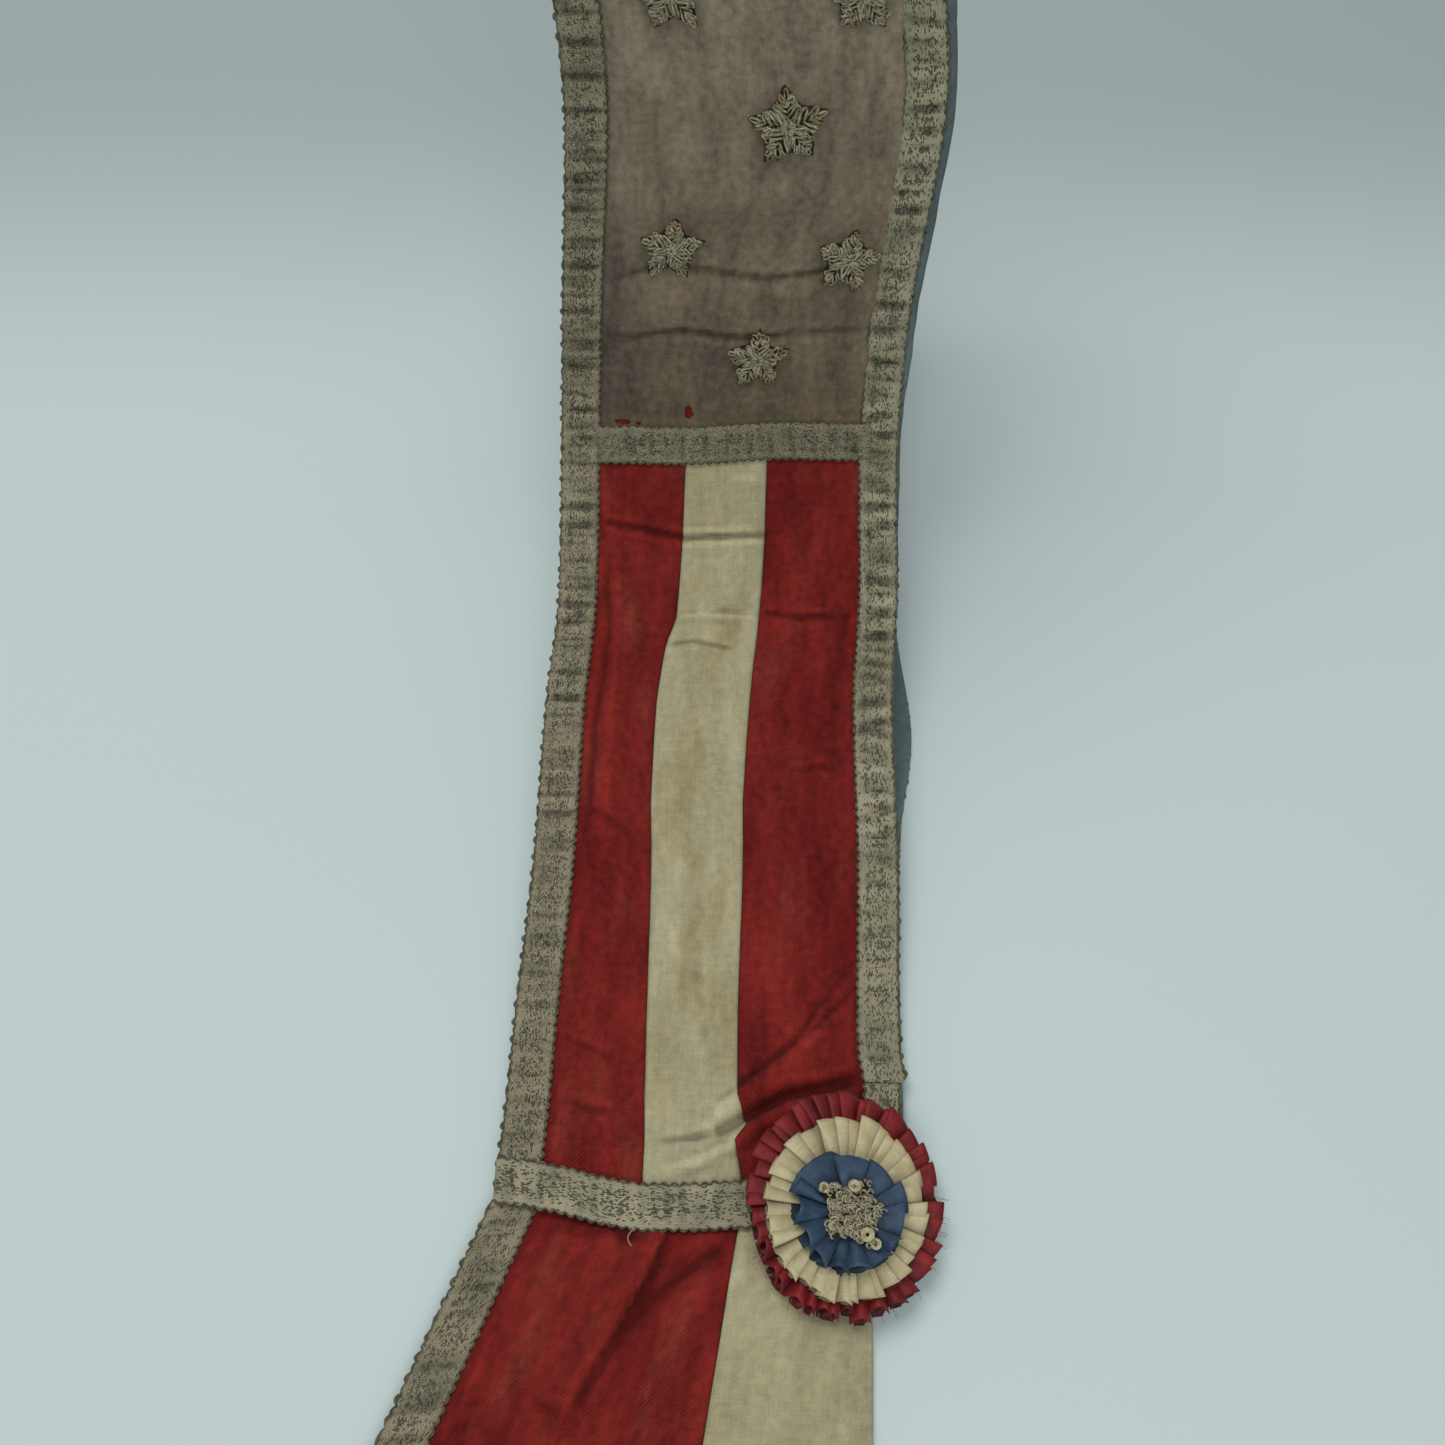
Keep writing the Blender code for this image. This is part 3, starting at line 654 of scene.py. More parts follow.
# The cream stripe's sides on the front half: distance up from the hip, then left and right, in millimetres.
CREAM_SIDES = np.array([
    (0, -16.4, 11.8), (4, -16.6, 11.6), (14, -16.8, 9.4), (19, -17.2, 12.6), (27, -17.8, 9.6),
    (57, -18.6, 9.2), (121, -21.5, 8.2), (156, -20.9, 10.0), (176, -19.8, 10.6), (180, -19.2, 10.7),
    (187, -17.2, 10.8), (217, -15.9, 12.0), (245, -15.2, 12.4),
]) * MM


def cream_side(column, half):
    if half == "front":
        return lambda along: np.interp(along, CREAM_SIDES[:, 0], CREAM_SIDES[:, column])
    return lambda along: 0 * along + (-17.5, 10.5)[column - 1] * MM


# Moth holes in the front star field, in millimetres: middle, half length, half width and a tilt. Its
# sheet has finer rows (distances) and columns (shares of the width) round them.
MOTH_HOLES = [(259.0, -14.9, 2.3, 1.5, 0.25), (255.6, -36.8, 1.0, 2.6, 0.1), (255.0, -31.6, 0.6, 0.9, 0.0)]
HOLE_ROWS = np.arange(252.0, 263.0, 0.35) * MM
HOLE_COLUMNS = np.arange(0.12, 0.42, 0.005)


def moth_holes(along, across):
    found = np.zeros(along.shape, bool)
    for middle_up, middle_across, long, wide, tilt in MOTH_HOLES:
        up, over = along / MM - middle_up, across / MM - middle_across
        ragged = 1 + 0.30 * ripple(up, over, 41, 1.0, 3.0)
        found |= ((up + tilt * over) / long) ** 2 + (over / wide) ** 2 < ragged
    return found


# The stars' rule in millimetres: the first one's distance up from the hip and the step to the next row,
# the middle column's offset across and the outer columns' distance from it.
FIRST_STAR, STAR_STEP, STAR_MIDDLE, STAR_COLUMN = 277.8, 37.5, 6.0, 27.2
STAR_ROWS = 9
LARGE_ROW = 2
LARGE_STAR = 11.4 * MM
SMALL_STAR = 9.8 * MM
# What stays free between a star and the edge lace.
STAR_ROOM = 2.9 * MM
# The front stars nearest the stripes aren't quite on the rule: a shift (up, across) in millimetres.
STAR_SHIFTS = {
    1: (-0.2, 0.9), 2: (-0.6, -2.3), 3: (-4.0, -0.9), 4: (0.2, 2.6), 5: (0.0, -2.4), 6: (0.0, -3.3),
}


def star_places(front):
    """Each star of a half: its distance up from the hip, its offset across and its radius."""
    places = []
    for row in range(STAR_ROWS):
        for offset in ([0.0] if row % 2 == 0 else [-STAR_COLUMN, STAR_COLUMN]):
            up, over = STAR_SHIFTS.get(len(places) + 1, (0.0, 0.0)) if front else (0.0, 0.0)
            radius = LARGE_STAR if row == LARGE_ROW else SMALL_STAR
            distance = (FIRST_STAR + STAR_STEP * row + up) * MM
            clear = half_width(distance) - LACE_WIDTH - STAR_ROOM - 0.95 * radius
            places.append((distance, min((STAR_MIDDLE + offset + over) * MM, clear), radius))
    return places


FRONT_STARS = star_places(True)


def add_half_cloth(half):
    """The star field and the three stripes of one half."""
    hip, upward = (0.0, 1) if half == "front" else (LOOP, -1)
    hem, top, shoulder = hip + upward * GAP, hip + upward * STRIPE_TOP, SHOULDER - upward * GAP / 2
    left_edge, right_edge = edge(-1, 0.5 * MM), edge(1, -0.9 * MM)
    cream_left, cream_right = cream_side(1, half), cream_side(2, half)
    seam = 0.08 * MM
    stripes = [
        ("left_red_stripe", RED, "red_twill", left_edge, lambda a: cream_left(a) - seam),
        ("cream_stripe", CREAM, "cream_cloth",
         lambda a: cream_left(a) + seam, lambda a: cream_right(a) - seam),
        ("right_red_stripe", RED, "red_twill", lambda a: cream_right(a) + seam, right_edge),
    ]
    for part, material, slot, left, right in stripes:
        name = f"{half}_{part}"
        start, end = sorted((hem, top - upward * GAP / 2))
        piece = strap_sheet(name + "_cloth", start, end, left, right, FACE_TOP, material)
        declare(piece, "sash", [name], flat_size(start, end, left, right))
    name = f"{half}_star_field"
    start, end = sorted((top + upward * GAP / 2, shoulder))
    holes = moth_holes if half == "front" else None
    piece = strap_sheet(name + "_cloth", start, end, left_edge, right_edge, FACE_TOP, STAR_CLOTH,
                        step=(1.25 if holes else 1.0) * MM, hole=holes)
    declare(piece, "sash", [name], flat_size(start, end, left_edge, right_edge))


def add_red_turning():
    """The end of the red cloth, turned up under the star field, where the moth holes show it."""
    start, end = STRIPE_TOP + GAP, STRIPE_TOP + 18 * MM
    left, right = edge(-1, 14 * MM), lambda a: 0 * a - 6 * MM
    piece = strap_sheet("red_turning", start, end, left, right, TURNING_TOP, RED, 0.25 * MM)
    declare(piece, "sash", [], flat_size(start, end, left, right))


def lining_lip(along):
    """How far the lining's right edge shows beyond the lace, rolled over the front of the strap."""
    up = np.minimum(along, LOOP - along) / MM
    shown = np.interp(up, [0, 200, 235, 262, 290, 420, 630], [0.3, 0.4, 1.0, 1.6, 2.6, 2.9, 2.6])
    return np.where(along < SHOULDER, shown, np.interp(up, [0, 300, 500, 630], [0.3, 0.4, 1.2, 2.6])) * MM


def add_lining():
    """The lining, whose edges roll over the strap's sides, and the canvas between it and the face."""
    along = steps_between(GAP, LOOP - GAP, 2 * MM)[:, None]
    half = half_width(along)
    wobble = 0.20 * MM * ripple(along, 0 * along, 51, 9 * MM, 40 * MM)
    lip = lining_lip(along) + 1.2 * MM
    flat = np.linspace(-1.0, 1.0, 41) * (half - 1.4 * MM)
    inside = smooth_step(half - np.abs(flat), 2 * MM, 9 * MM)
    billow = 0.12 * MM * (1 + ripple(along, flat, 52, 12 * MM, 45 * MM)) * inside
    left_roll = [(1.3, 2.45), (0.6, 2.45), (0.15, 2.1), (0.0, 1.5), (0.05, 0.9), (0.5, 0.3)]
    right_roll = [(0.5, 0.3), (0.05, 0.9), (0.0, 1.5), (0.2, 2.15)]
    columns = []
    for inward, lift in left_roll:
        columns.append((-half + inward * MM + wobble * (lift > 1), 0 * half + lift * MM))
    columns += [(flat[:, c : c + 1], billow[:, c : c + 1]) for c in range(flat.shape[1])]
    for inward, lift in right_roll:
        columns.append((half - inward * MM + wobble * (lift > 1), 0 * half + lift * MM))
    for share, lift in ((0.3, 2.62), (0.65, 2.66), (1.0, 2.5)):
        columns.append((half - lip * share + wobble * (1 - share), 0 * half + lift * MM))
    across = np.concatenate([a for a, _ in columns], axis=1)
    lift = np.concatenate([l for _, l in columns], axis=1)
    girth = np.concatenate([[0.0], np.cumsum(np.hypot(*(np.diff(a.mean(axis=0)) for a in (across, lift))))])
    shape = Shape().grid(on_loop(along, across, lift), joined(along, girth[None], 0.2))
    piece = shape.build("sash_lining_cloth", [LINING], 0.3 * MM, outward=1.0)
    declare(piece, "sash", ["sash_lining"], (float(girth[-1]), LOOP - 2 * GAP))
    left, right = edge(-1, 2 * MM), edge(1, -2 * MM)
    core = strap_plain("interlining", GAP, LOOP - GAP, left, right, INTERLINING_TOP, CANVAS, 0.5 * MM)
    declare(core, "sash", ["sash_interlining"], flat_size(GAP, LOOP - GAP, left, right))


def strap_plain(name, start, end, left, right, top, material, thickness):
    """A smooth sheet of the strap, with no relief."""
    along = steps_between(start, end, 3 * MM)[:, None]
    across = left(along) + (right(along) - left(along)) * np.linspace(0.0, 1.0, 9)
    shape = Shape().grid(on_loop(along, across, 0 * across + top), joined(along, across, 0.3))
    return shape.build(name, [material], thickness)


# ---- lace ----


def add_lace(name, length, width, place, seed, pucker=0.0, start=0.0, outer=0, finish=None):
    """Metal lace and the wound picot thread along both its edges.

    place(run, offset, height) gives points: metres along the lace, across from its middle and above
    its plain top. pucker is the height of its cross puckers, or a function of run. outer is the side,
    -1 or 1, that has beads instead of scallops.
    """
    run = steps_between(start, start + length, 0.5 * MM)[:, None]
    share = np.linspace(-1.0, 1.0, 15)
    swell = np.abs(np.sin(np.pi * run / SCALLOP_PITCH)) ** 0.8
    half = width / 2 - SCALLOP_DEPTH * (1 - swell)
    offset = half * share
    depth = pucker(run) if callable(pucker) else pucker
    gather = 0.5 + 0.5 * ripple(run, offset * 0.12, seed, 3.0 * MM, 6.5 * MM, 8)
    wear = 0.10 * MM * ripple(run, offset, seed + 1, 2 * MM, 9 * MM)
    height = depth * (0.9 - np.clip(gather, 0, 1.25) ** 2) + np.minimum(wear, 0.1 * MM)
    height = height - 0.25 * MM * smooth_step(np.abs(share), 0.90, 1.0)
    # Painted shade in the hollows of the puckers.
    soil = np.clip(1.6 * gather - 0.75, -0.25, 1.0) * np.clip(depth / (0.5 * MM), 0.0, 1.0)
    soil = soil * (1 - smooth_step(np.abs(share), 0.62, 0.95))
    shape = Shape().grid(place(run, offset, height), joined(run, offset, 0.05 * seed), soil=soil)
    lace = shape.build(name, [finish or LACE], LACE_CLOTH)
    edging = Shape()
    line = run[:, 0]
    for side in (-1, 1):
        pitch = BEAD_PITCH if side == outer else SCALLOP_PITCH
        bead = np.abs(np.sin(np.pi * line / pitch)) ** (6 if side == outer else 2)
        jitter = 0.10 * MM * ripple(line, 0 * line, seed + 5 + side, 1.5 * MM, 5 * MM)
        shift = half[:, 0] + jitter + 0.25 * MM * bead
        path = place(line, side * shift, -0.12 * MM - 0.10 * MM * bead)
        thick = 0.26 + (0.42 if side == outer else 0.14) * bead
        edging.tube(path, thick * MM, sides=6, seed=seed * 0.01)
    return lace, edging.build(name + "_picots", [PICOT])


def add_trim(name, body, nodes, rests_on, length, width, place, *shape, **looks):
    """Lace and its edging, which stand for these nodes. With no body they ride on nothing and are only baked
    in place.
    """
    lace, edging = add_lace(name, length, width, place, *shape, **looks)
    if not body:
        bend_tail(lace)
        bend_tail(edging)
    declare(lace, body, nodes, (width, length))
    declare(edging, body, [])


def strap_lace_place(side, width, inset):
    """Places lace along the strap's edge, inset from it."""
    def place(run, offset, height):
        middle = side * (half_width(run) - width / 2 - inset(run))
        return on_loop(run, middle + offset, LACE_TOP + height)
    return place


def pucker_depth(run):
    """The edge laces are gathered most where the strap bends, by the knee and over the shoulder."""
    up = np.minimum(run, LOOP - run) / MM
    places = [0, 90, 120, 170, 225, 260, 330, 420, 630]
    return np.interp(up, places, [0.2, 0.25, 0.5, 0.7, 0.65, 0.5, 0.65, 0.6, 0.5]) * MM


# The right lace is cut and folded back this far up from the hip.
RIGHT_LACE_END = 32 * MM


def add_edge_laces():
    """The two laces that run round the loop, and the piece below the right one's folded end."""
    span = LOOP - 2 * GAP
    left_place = strap_lace_place(-1, LACE_WIDTH, lambda run: 0 * run + 0.1 * MM)
    cloths = ["front_left_red_stripe_cloth", "back_left_red_stripe_cloth"]
    add_trim("left_lace", "sash", ["left_edge_lace"], cloths, span, LACE_WIDTH, left_place, 61, pucker_depth,
             GAP, -1, DARKER_LACE)
    start = RIGHT_LACE_END
    span = LOOP - GAP - start
    inner_place = strap_lace_place(1, LACE_WIDTH, lining_lip)

    def right_place(run, offset, height):
        lifted = 0.45 * MM * (1 - smooth_step(run, start, start + 14 * MM))
        flare = 1.2 * MM * (1 - smooth_step(run, start, start + 9 * MM))
        return inner_place(run, offset + flare, height + lifted)

    lace, edging = add_lace("right_lace", span, LACE_WIDTH, right_place, 62, pucker_depth, start, 1)
    fold = Shape()
    offsets = np.linspace(-0.5, 0.5, 13) * (LACE_WIDTH - 1.0 * MM)
    turn = np.linspace(0.0, np.pi, 7)[:, None]
    back = [right_place(start - 0.5 * MM * np.sin(t) + 0 * offsets, offsets, -0.3 * MM + 0.3 * MM * np.cos(t))
            for t in turn[:, 0]]
    for beyond in (1.0, 3.0, 6.0):
        back.append(right_place(start + beyond * MM + 0 * offsets, offsets, 0 * offsets - 0.62 * MM))
    fold.grid(np.array(back), joined(np.arange(len(back))[:, None] * 0.8 * MM, offsets, 0.4))
    turned = fold.build("right_lace_fold", [LACE], 0.15 * MM)
    declare(lace, "sash", ["right_edge_lace"], (LACE_WIDTH, span))
    declare(edging, "sash", [])
    declare(turned, "sash", [])
    width, span = 10.4 * MM, start - GAP + 5 * MM
    end_place = strap_lace_place(1, width, lambda run: 0 * run + 1.1 * MM)

    def lower_place(run, offset, height):
        sunk = -0.55 * MM * smooth_step(run, start - 3 * MM, start + 2 * MM)
        return end_place(run, offset, height + sunk - 0.1 * MM)

    add_trim("right_lace_lower", "sash", ["right_lace_end_piece"], ["front_right_red_stripe_cloth"], span,
             width, lower_place, 63, 0.1 * MM, GAP)


def add_cross_bands():
    """The lace across each half of the strap, between its star field and its stripes."""
    for half, upward in (("front", 1), ("back", -1)):
        middle = STRIPE_TOP if upward > 0 else LOOP - STRIPE_TOP
        reach = half_width(middle) - LACE_WIDTH + 2.2 * MM

        def place(run, offset, height):
            bow = 1.2 * MM * run / reach + 0.5 * MM * np.sin(run / (9 * MM))
            sink = -0.45 * MM * smooth_step(np.abs(run), reach - 4 * MM, reach)
            return on_loop(middle + upward * (offset + bow), run, LACE_TOP + height + sink + 0.15 * MM)

        # The cross bands take the shaded lace: painted shade.
        add_trim(f"{half}_band", "sash", [f"{half}_cross_band"], [f"{half}_cream_stripe_cloth"], 2 * reach,
                 LACE_WIDTH, place, 70 + upward, 0.25 * MM, -reach, finish=SHADED_LACE)


# ---- stars ----

STAR_POINTS = 5
STAR_WAIST = 0.60


def turned(angle):
    return np.array((math.cos(angle), math.sin(angle)))


def star_outline(radius, per_side, tilt):
    """The outline of a star, with this many points on each of its ten sides."""
    corners = []
    for corner in range(2 * STAR_POINTS):
        reach = radius * (1.0 if corner % 2 == 0 else STAR_WAIST)
        corners.append(reach * turned(math.pi / 2 + tilt + corner * math.pi / STAR_POINTS))
    corners = np.array(corners)
    following = np.roll(corners, -1, axis=0)
    share = np.arange(per_side)[:, None] / per_side
    return np.concatenate([a + (b - a) * share for a, b in zip(corners, following)])


# Round a loop of wire: the share of the way out, then which side it is on.
HAIRPIN = [(0, -1), (0.35, -1), (0.7, -1), (0.92, -0.75), (1, 0), (0.92, 0.75), (0.7, 1), (0.35, 1), (0, 1)]
# The loops on an arm of a star: how far out each pair starts and reaches, and its lean in degrees.
CHEVRONS = [(0.08, 0.42, 40), (0.22, 0.40, 42), (0.38, 0.34, 40), (0.54, 0.28, 36), (0.70, 0.20, 30)]


def hairpin(base, tip, width, low, high):
    """A loop of wire out from base to tip and back, as points (x, y, height)."""
    ahead = (tip - base) / np.linalg.norm(tip - base)
    side = np.array((-ahead[1], ahead[0])) * width / 2
    length = np.linalg.norm(tip - base)
    path = []
    for along, over in HAIRPIN:
        height = low + (high - low) * math.sin(math.pi * (0.22 + 0.70 * along))
        path.append((*(base + ahead * length * along + side * over), height))
    return path


def bullion_loops(radius, tilt, random):
    """Chevrons of wire loops along each arm of a star, and a few round its middle."""
    loops = []
    for arm in range(STAR_POINTS):
        angle = math.pi / 2 + tilt + arm * 2 * math.pi / STAR_POINTS
        ahead, side = turned(angle), turned(angle + math.pi / 2)
        for place, reach, splay in CHEVRONS:
            for hand in (-1, 1):
                lean = math.radians(hand * (splay + random.uniform(-16, 16)))
                base = radius * (place * ahead + 0.035 * hand * side)
                tip = base + radius * (reach + random.uniform(-0.07, 0.06)) * turned(angle + lean)
                high = random.uniform(1.0, 2.0) * MM
                loops.append(hairpin(base, tip, random.uniform(0.95, 1.5) * MM, 0.55 * MM, high))
        tip = radius * random.uniform(0.96, 1.06) * turned(angle + random.uniform(-0.07, 0.07))
        loops.append(hairpin(radius * 0.62 * ahead, tip, 1.1 * MM, 0.45 * MM, 1.2 * MM))
        for _ in range(3):
            curl = angle + random.uniform(-0.45, 0.45)
            base = radius * random.uniform(0.62, 0.88) * turned(curl) * (1 - 0.5 * abs(curl - angle))
            loops.append(hairpin(base, base + 1.6 * MM * turned(random.uniform(0, 2 * math.pi)), 1.5 * MM,
                                 0.8 * MM, random.uniform(1.2, 1.9) * MM))
    for turn in np.arange(8) * 2 * math.pi / 8 + random.uniform(0, 1):
        loops.append(hairpin(0.4 * MM * turned(turn), 2.4 * MM * turned(turn), 0.9 * MM, 1.0 * MM, 1.85 * MM))
    return loops


def spangle_rings(outer, thick, cup):
    """A pressed metal disc with a hole: (radius, height) from the hole's rim round to its underside."""
    hole = 0.24 * outer
    return [(hole, 0.0), (hole, thick), (0.45 * outer, thick + 0.4 * cup), (0.75 * outer, thick + cup),
            (0.96 * outer, thick + 0.7 * cup), (outer, 0.4 * cup), (0.7 * outer, cup - thick), (hole, 0.0)]


def add_spangle(shape, centre, outer, lean, slot, place=None):
    """A spangle at a point, leaned over by two angles. place maps its points on to the cloth."""
    turn = np.arange(18) * 2 * np.pi / 18
    rings = spangle_rings(outer, 0.22 * MM, 0.25 * MM)
    points = np.array([[(r * math.cos(t), r * math.sin(t), h) for t in turn] for r, h in rings])[::-1]
    rotation = np.array(Matrix.Rotation(lean[0], 3, "X") @ Matrix.Rotation(lean[1], 3, "Y"))
    points = points @ rotation.T + np.array(centre)
    cloth = points.copy()
    shape.grid(place(points) if place else points, cloth, slot, around=True)


def add_star(half, number, distance, offset, radius, facing, seed):
    """A padded star of bullion loops that follows the cloth, with a spangle at its middle."""
    random = np.random.default_rng(seed)
    tilt = random.uniform(-0.14, 0.14)

    def place(points):
        along = distance + points[..., 1] * facing
        across = offset + points[..., 0] * facing
        lift = FACE_TOP + strap_relief(along, across) + points[..., 2]
        return on_loop(along, across, lift)

    shape = Shape()
    outline = star_outline(radius, 4, tilt)
    # The padding reaches a little past the star's outline: a dark rim of painted shade round it.
    rings = [(1.10, -0.05), (1.09, 0.12), (0.97, 0.40), (0.7, 0.75), (0.4, 0.9), (0.05, 0.95)]
    frayed = random.uniform(0.93, 1.05, len(outline))
    pad = np.array([[(x * share * r, y * share * r, high * MM) for (x, y), r in zip(outline, frayed)]
                    for share, high in rings])
    shape.grid(place(pad), pad, 1, around=True)
    for turn, loop in enumerate(bullion_loops(radius, tilt, random)):
        path = np.array(loop)
        path[:, :2] += random.uniform(-0.25, 0.25, 2) * MM
        tip = np.hypot(path[4, 0], path[4, 1]) > 0.86 * radius and random.random() < 0.45
        shape.tube(place(path), random.uniform(0.34, 0.50) * MM, sides=6, seed=0.01 * turn + 0.1 * seed,
                   slot=3 if tip else 0)
    add_spangle(shape, (0.0, 0.0, 1.5 * MM), 1.5 * MM, (0.1, -0.1), 2, place)
    node = f"{half}_star_{number:02d}"
    piece = shape.build(node + "_wirework", [BULLION, SHADED_PADDING, SPANGLE, RUST])
    return declare(piece, "sash", [node])


def add_stars():
    for half, facing, hip in (("front", 1, 0.0), ("back", -1, LOOP)):
        for number, (distance, offset, radius) in enumerate(star_places(half == "front"), 1):
            add_star(half, number, hip + facing * distance, offset, radius, facing,
                     number + (100 if half == "back" else 0))


# ---- hip band and tail ----

# The middle of the hip band's lace, as (x, y) in millimetres from the hip seam, and its half length.
HIP_BAND = [(-58.4, 3.0), (-50.0, 2.0), (-39.5, 0.2), (-28.0, -2.8), (-16.6, -4.7), (0.0, -4.6), (14.4, -3.8),
            (35.0, -3.0), (58.3, -1.0)]
HIP_BAND_REACH = 58.3 * MM


def add_hip_band():
    """The lace over the hip seam. It dips from the strap's cloth to the tail's across its width."""
    line = np.array(HIP_BAND) * MM

    def place(run, offset, height):
        bow = np.interp(run, line[:, 0], line[:, 1])
        y = bow - offset
        dip = smooth_step(y, -1 * MM, -9 * MM) * 0.6 * MM
        over_lace = 0.45 * MM * (1 - smooth_step(run, -46 * MM, -42 * MM)) * smooth_step(y, -6 * MM, 0.0)
        z = 7.25 * MM + over_lace - dip + 0.25 * MM * np.sin(run / (7 * MM)) + height
        return joined(run, y, z) + HIP_SEAM

    add_trim("hip_lace", "sash", ["hip_band"], ["front_cream_stripe_cloth", "tail_cream_cloth"],
             2 * HIP_BAND_REACH, LACE_WIDTH, place, 81, 0.3 * MM, -HIP_BAND_REACH)


def corner(node, x_side, y_side):
    """(x, y) of a corner of a CAD node's box, in the sash's coordinates."""
    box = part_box(node)
    return np.array((box[x_side][0], box[y_side][1])) - HIP_SEAM[:2]


def line_down(first, second):
    """x as a function of the distance down the tail, through two (x, y) points."""
    slope = (second[0] - first[0]) / (first[1] - second[1])
    return lambda down: first[0] + slope * (down + first[1])


TAIL_TOP = -corner("tail_head_lining", 0, 1)[1]
TAIL_LENGTH = -corner("tail_lining", 0, 0)[1]
tail_left = line_down(corner("tail_head_left_lace", 0, 0), corner("tail_left_lace", 0, 0))
tail_fold = line_down(corner("tail_head_cream", 1, 1), corner("tail_cream", 1, 1))
tail_red_end = line_down(corner("tail_head_left_red", 1, 1), corner("tail_left_red", 1, 1))
TAIL_SLANT = math.hypot(1.0, (tail_left(0.0) - tail_left(0.1)) / 0.1)
TAIL_LACE = LACE_WIDTH * TAIL_SLANT
UNDER_FACE, UPPER_LINING, UPPER_FACE, UPPER_LACE = 0.9 * MM, 3.0 * MM, 3.8 * MM, 4.7 * MM
FOLD_HEIGHT = (UNDER_FACE + UPPER_FACE) / 2
# A tail cloth's widest cut over its mean width.
WIDEST_CUT = 1.35

# The tail's folds, as (x, y) in millimetres from the hip seam.
TAIL_CREASES = [
    ([(-9.5, -4), (-10.3, -12), (-14, -21), (-19, -29.5), (-29, -47), (-36, -58)], 2.0, 0.7, 11.0),
    ([(12, -8), (8, -14), (-2.5, -21), (-13, -29), (-22, -42)], -1.0, 3.6, 3.0),
    ([(16, -18), (3, -27), (-9, -41), (-16, -56)], 1.3, 6.0, 9.0),
    ([(-34, -8), (-40, -20), (-52, -44)], 0.8, 6.0, 7.0),
    ([(-26, -6), (-22, -12), (-14, -14)], -0.7, 2.5, 2.0),
    ([(-52, -58), (-30, -70), (-6, -78)], 0.6, 7.0, 5.0),
    ([(26, -14), (22, -30), (24, -52)], 0.7, 6.0, 5.0),
    ([(34, -22), (40, -36), (36, -60)], -0.5, 4.0, 4.0),
    ([(10, -60), (24, -84), (30, -110)], 0.6, 6.0, 6.0),
]


def tail_relief(x, down):
    """How far the tail's upper cloth stands up, fading to nothing under the lace and at the fold."""
    u, v = x / MM, -down / MM
    height = 1.9 + 0.7 * ripple(u, v, 91, 18, 60) + 0.1 * ripple(u, v, 92, 8, 16)
    height = height + 1.9 * folds(u, v, TAIL_CREASES)
    ramp = smooth_step(x - tail_left(down) - TAIL_LACE, -1.5 * MM, 5 * MM)
    ramp = ramp * (1 - smooth_step(x, tail_fold(down) - 9 * MM, tail_fold(down) - 1 * MM))
    ramp = ramp * smooth_step(down, 5 * MM, 15 * MM)
    ramp = ramp * (1 - smooth_step(down, TAIL_LENGTH - 14 * MM, TAIL_LENGTH - 8 * MM))
    return np.maximum(height, -0.1) * MM * ramp


def fold_columns(start, fold, end, top, spacing):
    """(x, z) across a folded layer, for each row: rightward on top, round the fold, leftward below."""
    radius = top - FOLD_HEIGHT
    count = round(float(np.mean(fold - start)) / spacing)
    across = start + (fold - (UPPER_FACE - FOLD_HEIGHT) - start) * np.linspace(0.0, 1.0, count + 1)
    turn = np.linspace(0.0, np.pi, 9)[1:-1]
    x = [across, fold - (UPPER_FACE - FOLD_HEIGHT) + radius * np.sin(turn)]
    z = [0 * across + top, 0 * fold + FOLD_HEIGHT + radius * np.cos(turn)]
    below = fold - (UPPER_FACE - FOLD_HEIGHT)
    back = below + (end - below) * np.linspace(0.0, 1.0, count // 2 + 1)
    x.append(back)
    z.append(0 * back + FOLD_HEIGHT - radius)
    return np.concatenate(x, axis=1), np.concatenate(z, axis=1)


def tail_sheet(part, x, z, down, material, width, lifted, thickness=CLOTH):
    """A cloth of the tail. lifted is the share of the upper cloth's relief that it takes.

    width is the mean of its flat width, and its widest cut is a fixed share more.
    """
    name = f"tail_{part}_cloth"
    upper = smooth_step(z, FOLD_HEIGHT, FOLD_HEIGHT + 0.6 * MM)
    relief = upper * tail_relief(x, down)
    z = z + lifted * relief
    # Painted shade in the creases of the upper cloth.
    soil = hollows(relief, 3, 3) * upper
    points = joined(x, -down, z) + HIP_SEAM
    girth = np.cumsum(np.hypot(*(np.diff(a, axis=1, prepend=a[:, :1]) for a in (x, z))), axis=1)
    shape = Shape().grid(points, joined(-down, girth + 0.1, 0.031 * len(name)), soil=soil)
    piece = shape.build(name, [material], thickness)
    bend_tail(piece)
    length = TAIL_LENGTH - TAIL_TOP
    return declare(piece, None, [f"tail_head_{part}", f"tail_{part}"], (width * WIDEST_CUT, length))


def bend_tail(piece):
    """Bakes a piece's transform into its mesh; it isn't bent at the tail's hinge, just below the rosette."""
    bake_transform(piece)


